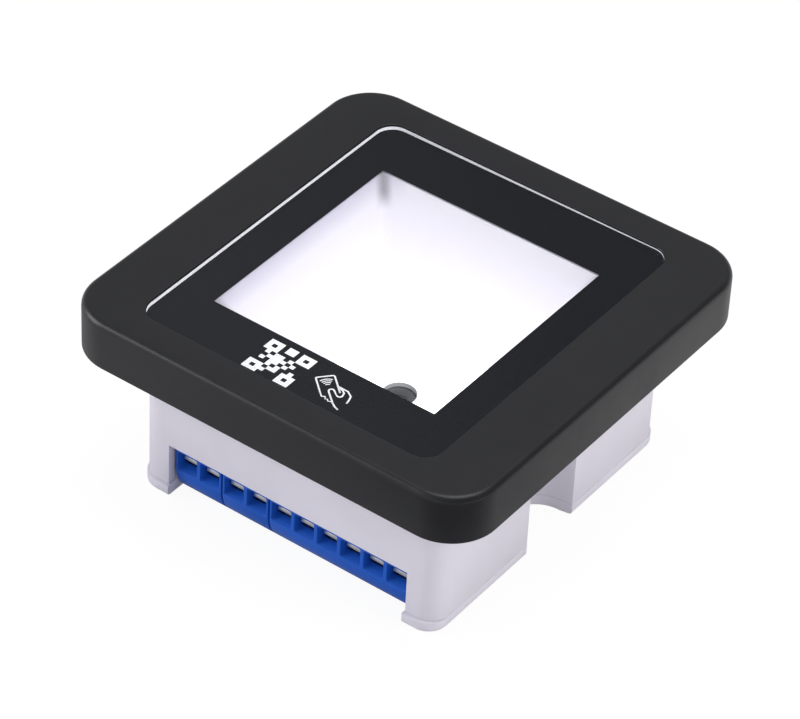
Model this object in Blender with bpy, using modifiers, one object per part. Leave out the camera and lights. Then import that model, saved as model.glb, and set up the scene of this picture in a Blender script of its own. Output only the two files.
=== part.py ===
"""Flush-mounted QR code and card reader for a square 86 mm wall box.

The reader lies on its back as it rests on a table: the rear cover's flat back is z = 0, the
clear front faces +Z and the row of screw terminals faces -Y. The origin is the middle of the
back. Units are metres.

From front to back the stack is: bezel frame with a bonded front lens, card antenna board,
steel mounting plate, moulded rear housing, flared light reflector around the camera, main
board, screw terminals with their screws facing the back, rear cover.
"""
import math

import bmesh
import bpy
from mathutils import Matrix, Vector

# Gap that neighbouring pieces keep where they seat on each other.
CLEARANCE = 0.0003

# Overall: the faceplate is the 86 mm square standard, the box behind it drops into the wall.
FACE_SIZE = 0.0860
OVERALL_DEPTH = 0.0402
BEZEL_HEIGHT = 0.0098
FACE_CORNER_RADIUS = 0.0094
FACE_EDGE_RADIUS = 0.0013
SKIRT_WALL = 0.0022
FACE_WALL = 0.0022

# Front lens and the pocket that it lies in, set back from the face's edges.
LENS_SIDE_BORDER = 0.01195
LENS_END_BORDER = 0.00735
LENS_WIDTH = FACE_SIZE - 2 * LENS_SIDE_BORDER
LENS_LENGTH = FACE_SIZE - 2 * LENS_END_BORDER
LENS_THICKNESS = 0.0025
LENS_RECESS = 0.0003
LENS_CORNER_RADIUS = 0.0036
LENS_EDGE_CHAMFER = 0.00015
POCKET_WALL = 0.0020
LEDGE_THICKNESS = 0.0016
ADHESIVE_THICKNESS = 0.0005
ADHESIVE_WIDTH = 0.0032

# Ribs and snap hooks inside the bezel.
RIB_THICKNESS = 0.0012
RIBS_PER_SIDE = 4
RIB_END_MARGIN = 0.0040
HOOK_WIDTH = 0.0100
HOOK_THICKNESS = 0.0014
HOOK_CATCH = 0.0008
HOOK_NOSE_HEIGHT = 0.0012
HOOK_FROM_POCKET = 0.0016

# Rear housing, set back from the face's edges so that it drops into the wall box.
HOUSING_SIDE_SETBACK = 0.0105
HOUSING_END_SETBACK = 0.0092
HOUSING_WIDTH = FACE_SIZE - 2 * HOUSING_SIDE_SETBACK
HOUSING_LENGTH = FACE_SIZE - 2 * HOUSING_END_SETBACK

# Steel mounting plate, fixed by two screws 60 mm apart.
PLATE_THICKNESS = 0.0015
BOX_SCREW_INSET = 0.0025
BOX_SCREW_SPACING = HOUSING_WIDTH - 2 * BOX_SCREW_INSET
BOX_SLOT_WIDTH = 0.0042
BOX_SLOT_LENGTH = 0.0090
BOX_SCREW_HEAD_ROOM = 0.0084
PLATE_OPENING_MARGIN = 0.0048
PLATE_OPENING_LENGTH = HOUSING_LENGTH - 2 * PLATE_OPENING_MARGIN

# Card antenna board and its flat cable.
ANTENNA_OVERHANG = 0.0005
ANTENNA_WIDTH = HOUSING_WIDTH + 2 * ANTENNA_OVERHANG
ANTENNA_LENGTH = LENS_LENGTH - CLEARANCE
ANTENNA_THICKNESS = 0.0010
ANTENNA_INNER_STEP = 0.00045
CABLE_WIDTH = 0.0060
CABLE_THICKNESS = 0.0004
CABLE_FROM_OPENING = 0.0022
CABLE_Y = PLATE_OPENING_LENGTH / 2 - CABLE_FROM_OPENING
CONNECTOR_SIZE = (0.0080, 0.0034, 0.0026)
CONNECTOR_FLOOR = 0.0009

# Rear housing's details and the rear cover.
HOUSING_CORNER_RADIUS = 0.0040
HOUSING_WALL = 0.0020
CHANNEL_RADIUS = 0.0066
CHANNEL_WALL = 0.0012
CHANNEL_FLARE = 0.0003
POST_RADIUS = 0.0026
POST_INSET = 0.0015
BOSS_RADIUS = 0.0030
BOSS_BITE = 0.0004
COVER_THICKNESS = 0.00255
COVER_EDGE_RADIUS = 0.0007
COVER_LIP_WIDTH = 0.0012
COVER_LIP_HEIGHT = 0.0018
OPENING_END_MARGIN = 0.00055
OPENING_TOP_MARGIN = 0.0004
GRILLE_HOLE_RADIUS = 0.0008
GRILLE_RING_RADIUS = 0.0030

# Screw terminals, counted from -X: two modules of two ways, then one with as many ways as fit.
SMALL_BLOCKS = 2
WAYS_PER_SMALL_BLOCK = 2
WAY_PITCH = 0.0050
BLOCK_SPACING = 0.00045
ROW_END_ROOM = 0.0070
BLOCK_HEIGHT = 0.0105
BLOCK_DEPTH = 0.0080
BLOCK_FRONT_INSET = 0.0014
BLOCK_CURVE_START = 0.0050
BLOCK_CURVE_INSET = 0.0021
WAY_WALL = 0.0009
ENTRY_FLARE = 0.0001
ENTRY_LIP = 0.0018
ENTRY_SILL = 0.0049
ENTRY_RAMP_RISE = 0.0010
ENTRY_HEAD_ROOM = 0.0008
CONTACT_THICKNESS = 0.0008
CONTACT_HEIGHT = 0.0041
CONTACT_BOTTOM = 0.0039
CONTACT_FRONT = 0.0012
BLOCK_REAR_WALL = 0.0007
PIN_RADIUS = 0.0005
PIN_FROM_REAR = 0.0027
PIN_PROTRUSION = 0.0005
CLAMP_SCREW_RADIUS = 0.0019
CLAMP_HEAD_HEIGHT = 0.0017
CLAMP_SHANK_RADIUS = 0.0011
CLAMP_CHAMFER = 0.00035
CLAMP_HEAD_SINK = 0.0006
CLAMP_TIP_REACH = 0.0014
DRIVE_SLOT_WIDTH = 0.0006
DRIVE_SLOT_DEPTH = 0.0008

# Main board and what stands on it.
BOARD_THICKNESS = 0.0016
LEDS_PER_ROW = 3
LED_SIZE = (0.0035, 0.0028, 0.0014)
LED_ROW_FROM_FLOOR_EDGE = 0.0035
LED_PITCH = 0.0080
LED_AIR = 0.0010
DIFFUSER_THICKNESS = 0.0008
PROCESSOR_SIZE = (0.0120, 0.0120, 0.0014)
MEMORY_SIZE = (0.0060, 0.0050, 0.0012)
INDUCTOR_SIZE = (0.0062, 0.0062, 0.0030)
PACKAGE_EDGE_RADIUS = 0.0002
CAPACITOR_RADIUS = 0.0032
CAN_GROOVE = 0.0003
CAN_GROOVE_FROM_TOP = 0.0013
CAPACITOR_HEIGHT = 0.0058
BUZZER_RADIUS = 0.0060
BUZZER_HEIGHT = 0.0054
BUZZER_CHAMFER = 0.0003
SOUND_HOLE_DEPTH = 0.0018
BUZZER_SOUND_HOLE = 0.0012
PROCESSOR_PLACE = (-0.0030, 0.0120)
MEMORY_PLACE = (-0.0130, 0.0120)
INDUCTOR_PLACE = (-0.0080, -0.0130)
CAPACITOR_PLACE = (-0.0180, -0.0130)
BUZZER_PLACE = (0.0130, 0.0160)

# Reflector and camera.
WINDOW_BORDER = 0.00685
WINDOW_HALF = LENS_WIDTH / 2 - WINDOW_BORDER
FLOOR_HALF = 0.0130
REFLECTOR_WALL = 0.0009
REFLECTOR_CORNER_RADIUS = 0.0030
DIFFUSER_LEDGE = 0.0010
SEAT_STEP = 0.0002
SEAT_RADIUS = 0.0012
FOOT_STEP = 0.0004
HOLDER_HEIGHT = 0.0020
CAMERA_PLACE = (0.0011, -0.0025)
HOLDER_SIZE = 0.0090
BARREL_RADIUS = 0.0027
BARREL_BELOW_FLOOR = 0.0010
BARREL_BORE = 0.0017
GLASS_THICKNESS = 0.0008
GLASS_SHOULDER_DROP = 0.00008

# Self-tapping screws: cover, mounting plate and main board.
SCREW_SHANK_RADIUS = 0.0010
SCREW_HEAD_RADIUS = 0.0020
SCREW_HEAD_HEIGHT = 0.0013
SCREW_HEAD_CHAMFER = 0.0003
SCREW_POINT_LENGTH = 0.0020
SCREW_POINT_RADIUS = 0.0003
SCREW_LENGTH = 0.0070
CROSS_ARM = 0.0024
CROSS_WIDTH = 0.0006
CROSS_DEPTH = 0.0007

# Heights of the stack, worked out from the back upwards and from the front downwards.
SEAT_Z = OVERALL_DEPTH - BEZEL_HEIGHT
HOUSING_BOTTOM = COVER_THICKNESS + CLEARANCE
HOUSING_TOP = SEAT_Z - CLEARANCE
PLATE_TOP = SEAT_Z + PLATE_THICKNESS
ANTENNA_BOTTOM = PLATE_TOP + CLEARANCE
LENS_TOP = OVERALL_DEPTH - LENS_RECESS
LENS_BOTTOM = LENS_TOP - LENS_THICKNESS
ADHESIVE_TOP = LENS_BOTTOM - CLEARANCE
LEDGE_TOP = ADHESIVE_TOP - ADHESIVE_THICKNESS - CLEARANCE
LEDGE_BOTTOM = LEDGE_TOP - LEDGE_THICKNESS
BLOCK_BOTTOM = CLEARANCE
BLOCK_TOP = BLOCK_BOTTOM + BLOCK_HEIGHT
BOARD_BOTTOM = BLOCK_TOP + CLEARANCE
BOARD_TOP = BOARD_BOTTOM + BOARD_THICKNESS
DIFFUSER_BOTTOM = BOARD_TOP + CLEARANCE + LED_SIZE[2] + LED_AIR
FLOOR_Z = DIFFUSER_BOTTOM + DIFFUSER_THICKNESS
REFLECTOR_TOP = LENS_BOTTOM - CLEARANCE
REFLECTOR_BOTTOM = BOARD_TOP + CLEARANCE

# Plan sizes that follow from the driving ones.
HALF_FACE = FACE_SIZE / 2
POCKET_HALF_X = LENS_WIDTH / 2 + CLEARANCE
POCKET_HALF_Y = LENS_LENGTH / 2 + CLEARANCE
POCKET_RADIUS = LENS_CORNER_RADIUS + CLEARANCE
LEDGE_HALF = WINDOW_HALF + REFLECTOR_WALL + 2 * CLEARANCE
PLATE_HALF = HALF_FACE - SKIRT_WALL - CLEARANCE
BOX_SCREW_X = BOX_SCREW_SPACING / 2
CHANNEL_INNER_X = BOX_SCREW_X - CHANNEL_RADIUS - CHANNEL_WALL
HOUSING_HALF_X = HOUSING_WIDTH / 2
HOUSING_HALF_Y = HOUSING_LENGTH / 2
POST_X = HOUSING_HALF_X - HOUSING_WALL - POST_INSET
POST_Y = HOUSING_HALF_Y - HOUSING_WALL - POST_INSET
BOSS_X = HOUSING_HALF_X - HOUSING_WALL - BOSS_RADIUS + BOSS_BITE
BOSS_Y = (CHANNEL_RADIUS + CHANNEL_WALL + POST_Y - POST_RADIUS) / 2
RIB_REACH = POCKET_HALF_X - RIB_END_MARGIN
RIB_STEP = 2 * RIB_REACH / (RIBS_PER_SIDE - 1)
RIB_PLACES = [RIB_REACH - i * RIB_STEP for i in range(RIBS_PER_SIDE)]
HOOK_OFFSET = RIB_REACH - RIB_STEP / 2
HOOK_X = POCKET_HALF_X + POCKET_WALL + HOOK_FROM_POCKET
BLOCK_FRONT = -HOUSING_HALF_Y + BLOCK_FRONT_INSET
BLOCK_REAR = BLOCK_FRONT + BLOCK_DEPTH
ROW_WAYS = int((HOUSING_WIDTH - 2 * ROW_END_ROOM) / WAY_PITCH)
WAYS_PER_BLOCK = [WAYS_PER_SMALL_BLOCK] * SMALL_BLOCKS
WAYS_PER_BLOCK.append(ROW_WAYS - SMALL_BLOCKS * WAYS_PER_SMALL_BLOCK)
ROW_LENGTH = ROW_WAYS * WAY_PITCH + SMALL_BLOCKS * BLOCK_SPACING
CAVITY_HALF = (WAY_PITCH - WAY_WALL) / 2
CLAMP_SCREW_Y = BLOCK_REAR - BLOCK_REAR_WALL - CLEARANCE - CONTACT_THICKNESS - CLAMP_SCREW_RADIUS
PIN_Y = BLOCK_REAR - PIN_FROM_REAR

# The reflector narrows from the window to the neck between the screw channels, and on to its
# floor, where the lights stand in a row on each side of the camera.
NECK_HALF = CHANNEL_INNER_X - 2 * CLEARANCE - REFLECTOR_WALL
REFLECTOR_SLOPE = (WINDOW_HALF - NECK_HALF) / (REFLECTOR_TOP - HOUSING_TOP)
SEAT_HALF = FLOOR_HALF - SEAT_STEP
LED_ROW_Y = FLOOR_HALF - LED_ROW_FROM_FLOOR_EDGE
PLATE_OPENING_HALF = (WINDOW_HALF - REFLECTOR_SLOPE * (REFLECTOR_TOP - PLATE_TOP)
                      + REFLECTOR_WALL + 2 * CLEARANCE)

CORNER_STEPS = 6
CHANNEL_STEPS = 11
HOLE_SEGMENTS = 10
SCREW_SEGMENTS = 8
PIN_SEGMENTS = 6
CAMERA_SEGMENTS = 24
CAN_SEGMENTS = 16
BUZZER_SEGMENTS = 20
OVERCUT = 0.0010


# Collections and materials

for old in list(bpy.data.objects):
    bpy.data.objects.remove(old, do_unlink=True)


def new_collection(name):
    collection = bpy.data.collections.new(name)
    bpy.context.scene.collection.children.link(collection)
    return collection


PARTS = new_collection("qr_code_reader")
CUTTERS = new_collection("cutters")


def material(name, color, roughness, metallic=0.0, transmission=0.0):
    mat = bpy.data.materials.new(name)
    mat.use_nodes = True
    shader = mat.node_tree.nodes["Principled BSDF"]
    shader.inputs["Base Color"].default_value = (*color, 1.0)
    shader.inputs["Roughness"].default_value = roughness
    shader.inputs["Metallic"].default_value = metallic
    shader.inputs["Transmission Weight"].default_value = transmission
    return mat


BLACK_ABS = material("black_abs", (0.032, 0.032, 0.034), 0.42)
CLEAR_ACRYLIC = material("clear_acrylic", (0.90, 0.92, 0.94), 0.05, transmission=0.9)
FOAM_TAPE = material("foam_tape", (0.02, 0.02, 0.02), 0.9)
ZINC_STEEL = material("zinc_steel", (0.55, 0.56, 0.58), 0.35, 1.0)
WHITE_ABS = material("white_abs", (0.62, 0.60, 0.66), 0.45)
REFLECTOR_WHITE = material("reflector_white", (0.86, 0.86, 0.88), 0.35)
DIFFUSER_OPAL = material("diffuser_opal", (0.90, 0.90, 0.92), 0.5, transmission=0.3)
BOARD_GREEN = material("board_green", (0.02, 0.12, 0.05), 0.4)
ANTENNA_BLACK = material("antenna_black", (0.02, 0.02, 0.025), 0.4)
CABLE_WHITE = material("cable_white", (0.75, 0.75, 0.72), 0.5)
CONNECTOR_CREAM = material("connector_cream", (0.62, 0.58, 0.45), 0.5)
TERMINAL_BLUE = material("terminal_blue", (0.022, 0.108, 0.485), 0.4)
TIN_PLATE = material("tin_plate", (0.72, 0.71, 0.68), 0.3, 1.0)
SCREW_NICKEL = material("screw_nickel", (0.62, 0.60, 0.56), 0.3, 1.0)
SCREW_BLACK = material("screw_black", (0.05, 0.05, 0.055), 0.4, 1.0)
LED_YELLOW = material("led_phosphor", (0.85, 0.80, 0.45), 0.4)
CHIP_BLACK = material("chip_black", (0.015, 0.015, 0.017), 0.5)
CAMERA_BLACK = material("camera_black", (0.03, 0.03, 0.035), 0.4)
CAMERA_GLASS = material("camera_glass", (0.03, 0.04, 0.06), 0.05)
FERRITE_GREY = material("ferrite_grey", (0.07, 0.07, 0.075), 0.7)
CAN_ALUMINIUM = material("can_aluminium", (0.72, 0.73, 0.74), 0.3, 1.0)


# Shapes

def add_object(name, mesh, collection, mat=None, location=(0, 0, 0)):
    obj = bpy.data.objects.new(name, mesh)
    obj.location = location
    collection.objects.link(obj)
    if mat:
        obj.data.materials.append(mat)
    if collection is CUTTERS:
        obj.hide_render = True
        obj.display_type = "WIRE"
    return obj


def from_bmesh(bm, name, collection, mat=None, location=(0, 0, 0)):
    bmesh.ops.recalc_face_normals(bm, faces=bm.faces)
    mesh = bpy.data.meshes.new(name)
    bm.to_mesh(mesh)
    bm.free()
    return add_object(name, mesh, collection, mat, location)


def evaluated_mesh(obj):
    """The object's mesh with its modifiers applied, as a mesh of its own."""
    bpy.context.view_layer.update()
    graph = bpy.context.evaluated_depsgraph_get()
    return bpy.data.meshes.new_from_object(obj.evaluated_get(graph))


def extruded(name, loops, z_low, z_high, collection, mat=None):
    """A flat outline, with any further loops as holes in it, from z_low to z_high."""
    curve = bpy.data.curves.new(name, "CURVE")
    curve.dimensions = "2D"
    curve.fill_mode = "BOTH"
    curve.extrude = (z_high - z_low) / 2
    for loop in loops:
        spline = curve.splines.new("POLY")
        spline.points.add(len(loop) - 1)
        for point, (x, y) in zip(spline.points, loop):
            point.co = (x, y, 0, 1)
        spline.use_cyclic_u = True
    holder = add_object(name + "_outline", curve, CUTTERS)
    mesh = evaluated_mesh(holder)
    bpy.data.objects.remove(holder, do_unlink=True)
    bm = bmesh.new()
    bm.from_mesh(mesh)
    bmesh.ops.remove_doubles(bm, verts=bm.verts, dist=1e-6)
    bmesh.ops.translate(bm, verts=bm.verts, vec=(0, 0, (z_low + z_high) / 2))
    mesh.materials.clear()
    return from_bmesh(bm, name, collection, mat)


def arc(centre, radius, start, end, steps):
    """Points on an arc from start to end, in degrees, both ends included."""
    for i in range(steps + 1):
        angle = math.radians(start + (end - start) * i / steps)
        yield (centre[0] + radius * math.cos(angle), centre[1] + radius * math.sin(angle))


def rounded_rectangle(half_x, half_y, radius):
    points = []
    for sign_x, sign_y, start in ((1, 1, 0), (-1, 1, 90), (-1, -1, 180), (1, -1, 270)):
        corner = (sign_x * (half_x - radius), sign_y * (half_y - radius))
        points += arc(corner, radius, start, start + 90, CORNER_STEPS)
    return points


def rectangle(centre, half_x, half_y):
    x, y = centre
    return [(x + half_x, y + half_y), (x - half_x, y + half_y),
            (x - half_x, y - half_y), (x + half_x, y - half_y)]


def circle(centre, radius, segments=HOLE_SEGMENTS):
    return list(arc(centre, radius, 0, 360 - 360 / segments, segments - 1))


def oblong(centre, width, length):
    """A slot outline with round ends, its length along Y."""
    radius = width / 2
    offset = length / 2 - radius
    return (list(arc((centre[0], centre[1] + offset), radius, 0, 180, CORNER_STEPS))
            + list(arc((centre[0], centre[1] - offset), radius, 180, 360, CORNER_STEPS)))


def box_outline(inset, channel_wall):
    """The housing's outline in plan, moved in by inset.

    The U-shaped channel in each X side clears the wall box's screw post, opens slightly towards
    its mouth and has a wall of its own.
    """
    half_x = HOUSING_HALF_X - inset
    half_y = HOUSING_HALF_Y - inset
    radius = HOUSING_CORNER_RADIUS - min(inset, HOUSING_CORNER_RADIUS - CLEARANCE)
    channel = CHANNEL_RADIUS + channel_wall
    mouth = channel + CHANNEL_FLARE
    points = []
    for turn in (0, 180):
        sign = 1 if turn == 0 else -1
        points += [(sign * half_x, -sign * mouth)]
        points += arc((sign * BOX_SCREW_X, 0), channel, turn + 270, turn + 90, CHANNEL_STEPS)
        points += [(sign * half_x, sign * mouth)]
        corner = (sign * (half_x - radius), sign * (half_y - radius))
        points += arc(corner, radius, turn, turn + 90, CORNER_STEPS)
        corner = (-sign * (half_x - radius), sign * (half_y - radius))
        points += arc(corner, radius, turn + 90, turn + 180, CORNER_STEPS)
    return points


def add_box(bm, low, high):
    """A box between two corners; returns its vertices."""
    low, high = Vector(low), Vector(high)
    matrix = Matrix.Translation((low + high) / 2) @ Matrix.Diagonal((*(high - low), 1))
    return bmesh.ops.create_cube(bm, size=1, matrix=matrix)["verts"]


def box(name, low, high, collection, mat=None):
    bm = bmesh.new()
    add_box(bm, low, high)
    return from_bmesh(bm, name, collection, mat)


def drums(name, centres, z_low, z_high, radius, segments=HOLE_SEGMENTS):
    """Upright cylinders of one size at several places, as one cutter or one joined shape."""
    bm = bmesh.new()
    for x, y in centres:
        bmesh.ops.create_cone(bm, cap_ends=True, segments=segments, radius1=radius,
                              radius2=radius, depth=z_high - z_low,
                              matrix=Matrix.Translation((x, y, (z_low + z_high) / 2)))
    return from_bmesh(bm, name, CUTTERS)


def flared(name, levels, radius, collection, mat=None):
    """A square solid with round corners that widens through (half width, z) levels, upwards."""
    top_half = levels[-1][0]
    outline = rounded_rectangle(top_half, top_half, radius)
    bm = bmesh.new()
    rings = []
    for half, z in levels:
        share = half / top_half
        rings.append([bm.verts.new((x * share, y * share, z)) for x, y in outline])
    for lower, upper in zip(rings, rings[1:]):
        for i in range(len(outline)):
            bm.faces.new((lower[i - 1], lower[i], upper[i], upper[i - 1]))
    bm.faces.new(rings[0])
    bm.faces.new(rings[-1])
    return from_bmesh(bm, name, collection, mat)


def turned(name, profile, collection, mat, steps):
    """A profile of (radius, z) points, top to bottom, turned around Z."""
    bm = bmesh.new()
    verts = [bm.verts.new((radius, 0, z)) for radius, z in profile]
    for first, second in zip(verts, verts[1:]):
        bm.edges.new((first, second))
    mesh = bpy.data.meshes.new(name)
    bm.to_mesh(mesh)
    bm.free()
    obj = add_object(name, mesh, collection, mat)
    screw = obj.modifiers.new("turn", "SCREW")
    screw.axis = "Z"
    screw.steps = steps
    screw.render_steps = steps
    screw.use_merge_vertices = True
    screw.merge_threshold = 1e-6
    return obj


def combine(obj, other, operation):
    modifier = obj.modifiers.new(other.name, "BOOLEAN")
    modifier.operation = operation
    modifier.solver = "EXACT"
    modifier.object = other


def cut(obj, *cutters):
    for cutter in cutters:
        combine(obj, cutter, "DIFFERENCE")


def join(obj, *others):
    for other in others:
        combine(obj, other, "UNION")


def round_edges(obj, z, radius, segments):
    """Round the outline edges that lie at height z."""
    bm = bmesh.new()
    bm.from_mesh(obj.data)
    edges = [edge for edge in bm.edges
             if all(abs(v.co.z - z) < 1e-6 for v in edge.verts)
             and any(abs(face.normal.z) < 0.5 for face in edge.link_faces)]
    bmesh.ops.bevel(bm, geom=edges, offset=radius, segments=segments, profile=0.5,
                    affect="EDGES", clamp_overlap=True)
    bm.to_mesh(obj.data)
    bm.free()


def soften(obj, width, segments=1):
    bevel = obj.modifiers.new("soften", "BEVEL")
    bevel.width = width
    bevel.segments = segments
    bevel.limit_method = "ANGLE"


def place_copies(obj, names, places, flip=False):
    """Bake the object's modifiers, then set one copy of it at each place."""
    mesh = evaluated_mesh(obj)
    mat = obj.data.materials[0]
    bpy.data.objects.remove(obj, do_unlink=True)
    mesh.materials.clear()
    mesh.materials.append(mat)
    for name, place in zip(names, places):
        copy = bpy.data.objects.new(name, mesh)
        copy.location = place
        if flip:
            copy.rotation_euler = (math.pi, 0, 0)
        PARTS.objects.link(copy)


FOUR_CORNERS = [(sx, sy) for sx in (-1, 1) for sy in (-1, 1)]
POST_PLACES = [(sx * POST_X, sy * POST_Y) for sx, sy in FOUR_CORNERS]
BOSS_PLACES = [(sx * BOSS_X, sy * BOSS_Y) for sx, sy in FOUR_CORNERS]
BOARD_SCREW_PLACES = [(BOSS_X, -BOSS_Y), (-BOSS_X, BOSS_Y)]


# Bezel frame: a square moulded face with a rounded rim, a pocket and ledge for the lens, and a
# hollow back with ribs and four snap hooks.

def bezel_ribs():
    """Ribs that tie the pocket's wall to the skirt on all four sides."""
    bm = bmesh.new()
    bite = CLEARANCE
    low, high = LEDGE_BOTTOM, OVERALL_DEPTH - FACE_WALL + bite
    reach = HALF_FACE - SKIRT_WALL + bite
    for sign in (-1, 1):
        for offset in RIB_PLACES:
            near, far = offset - RIB_THICKNESS / 2, offset + RIB_THICKNESS / 2
            inner = POCKET_HALF_X + POCKET_WALL - bite
            add_box(bm, (min(sign * inner, sign * reach), near, low),
                    (max(sign * inner, sign * reach), far, high))
            inner = POCKET_HALF_Y + POCKET_WALL - bite
            add_box(bm, (near, min(sign * inner, sign * reach), low),
                    (far, max(sign * inner, sign * reach), high))
    return from_bmesh(bm, "bezel_ribs", CUTTERS)


def bezel_frame():
    frame = extruded("bezel_frame", [rounded_rectangle(HALF_FACE, HALF_FACE, FACE_CORNER_RADIUS)],
                     SEAT_Z, OVERALL_DEPTH, PARTS, BLACK_ABS)
    round_edges(frame, OVERALL_DEPTH, FACE_EDGE_RADIUS, 4)
    inner = HALF_FACE - SKIRT_WALL
    inner_radius = FACE_CORNER_RADIUS - SKIRT_WALL
    skirt_room = rounded_rectangle(inner, inner, inner_radius)
    cut(frame,
        extruded("lens_pocket", [rounded_rectangle(POCKET_HALF_X, POCKET_HALF_Y, POCKET_RADIUS)],
                 LEDGE_TOP, OVERALL_DEPTH + OVERCUT, CUTTERS),
        extruded("ledge_opening", [rounded_rectangle(LEDGE_HALF, LEDGE_HALF,
                                                     REFLECTOR_CORNER_RADIUS)],
                 LEDGE_BOTTOM - OVERCUT, LEDGE_TOP + OVERCUT, CUTTERS),
        extruded("plate_room", [skirt_room], SEAT_Z - OVERCUT, LEDGE_BOTTOM, CUTTERS),
        extruded("hollow_back",
                 [skirt_room, rounded_rectangle(POCKET_HALF_X + POCKET_WALL,
                                                POCKET_HALF_Y + POCKET_WALL,
                                                POCKET_RADIUS + POCKET_WALL)],
                 LEDGE_BOTTOM - CLEARANCE, OVERALL_DEPTH - FACE_WALL, CUTTERS))
    join(frame, bezel_ribs())
    arms, noses = snap_hook_arms(), snap_hook_noses()
    join(arms, noses)
    join(frame, arms)
    return frame


def snap_hook_arms():
    bm = bmesh.new()
    for sign_x, sign_y in FOUR_CORNERS:
        near, far = sign_x * HOOK_X, sign_x * (HOOK_X + HOOK_THICKNESS)
        y = sign_y * HOOK_OFFSET
        add_box(bm, (min(near, far), y - HOOK_WIDTH / 2, SEAT_Z - CLEARANCE - HOOK_NOSE_HEIGHT),
                (max(near, far), y + HOOK_WIDTH / 2, OVERALL_DEPTH - FACE_WALL + CLEARANCE))
    return from_bmesh(bm, "snap_hook_arms", CUTTERS)


def snap_hook_noses():
    """A wedge at the end of each arm, flat on top and slanted below."""
    top = SEAT_Z - CLEARANCE
    bm = bmesh.new()
    for sign_x, sign_y in FOUR_CORNERS:
        tip, root = sign_x * (HOOK_X - HOOK_CATCH), sign_x * (HOOK_X + HOOK_THICKNESS / 2)
        y = sign_y * HOOK_OFFSET
        corners = add_box(bm, (min(tip, root), y - HOOK_WIDTH / 2, top - HOOK_NOSE_HEIGHT),
                          (max(tip, root), y + HOOK_WIDTH / 2, top))
        for vertex in corners:
            if vertex.co.z < top - HOOK_NOSE_HEIGHT / 2 and abs(vertex.co.x) < HOOK_X:
                vertex.co.x = sign_x * (HOOK_X + CLEARANCE)
    return from_bmesh(bm, "snap_hook_noses", CUTTERS)


# Front lens and the tape that bonds it to the bezel's ledge.

def front_lens():
    lens = extruded("front_lens",
                    [rounded_rectangle(LENS_WIDTH / 2, LENS_LENGTH / 2, LENS_CORNER_RADIUS)],
                    LENS_BOTTOM, LENS_TOP, PARTS, CLEAR_ACRYLIC)
    round_edges(lens, LENS_TOP, LENS_EDGE_CHAMFER, 1)


def lens_tape():
    outer_x = LENS_WIDTH / 2 - CLEARANCE
    outer_y = LENS_LENGTH / 2 - CLEARANCE
    extruded("lens_tape",
             [rounded_rectangle(outer_x, outer_y, LENS_CORNER_RADIUS),
              rounded_rectangle(outer_x - ADHESIVE_WIDTH, outer_y - ADHESIVE_WIDTH,
                                LENS_CORNER_RADIUS)],
             ADHESIVE_TOP - ADHESIVE_THICKNESS, ADHESIVE_TOP, PARTS, FOAM_TAPE)


# Mounting plate: sheet steel with the two box-screw slots and windows for the snap hooks.

def mounting_plate():
    window_x = HOOK_X + HOOK_THICKNESS / 2
    window_half_x = HOOK_THICKNESS / 2 + CLEARANCE
    window_half_y = HOOK_WIDTH / 2 + CLEARANCE
    loops = [rounded_rectangle(PLATE_HALF, PLATE_HALF, FACE_CORNER_RADIUS - SKIRT_WALL),
             rounded_rectangle(PLATE_OPENING_HALF, PLATE_OPENING_LENGTH / 2,
                               REFLECTOR_CORNER_RADIUS)]
    for sign in (-1, 1):
        loops.append(oblong((sign * BOX_SCREW_X, 0), BOX_SLOT_WIDTH, BOX_SLOT_LENGTH))
    for sign_x, sign_y in FOUR_CORNERS:
        loops.append(rectangle((sign_x * window_x, sign_y * HOOK_OFFSET),
                               window_half_x, window_half_y))
    for place in POST_PLACES:
        loops.append(circle(place, SCREW_SHANK_RADIUS + CLEARANCE))
    extruded("mounting_plate", loops, SEAT_Z, PLATE_TOP, PARTS, ZINC_STEEL)


# Card antenna: a ring-shaped board around the window, cut back at the box screws' heads.

def antenna_board():
    inner = PLATE_OPENING_HALF + ANTENNA_INNER_STEP
    board = extruded("antenna_board",
                     [rounded_rectangle(ANTENNA_WIDTH / 2, ANTENNA_LENGTH / 2,
                                        LENS_CORNER_RADIUS),
                      rounded_rectangle(inner, inner, REFLECTOR_CORNER_RADIUS)],
                     ANTENNA_BOTTOM, ANTENNA_BOTTOM + ANTENNA_THICKNESS, PARTS, ANTENNA_BLACK)
    low = ANTENNA_BOTTOM - OVERCUT
    high = ANTENNA_BOTTOM + ANTENNA_THICKNESS + OVERCUT
    head_x = BOX_SCREW_X - BOX_SCREW_HEAD_ROOM / 2
    head_half_y = (BOX_SLOT_LENGTH + BOX_SLOT_WIDTH) / 2
    for sign, side in ((-1, "left"), (1, "right")):
        near, far = sign * head_x, sign * (ANTENNA_WIDTH / 2 + OVERCUT)
        cut(board, box("head_room_" + side, (min(near, far), -head_half_y, low),
                       (max(near, far), head_half_y, high), CUTTERS))
    cut(board, drums("plate_screw_room", POST_PLACES, low, high,
                     SCREW_HEAD_RADIUS + CLEARANCE))


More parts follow.
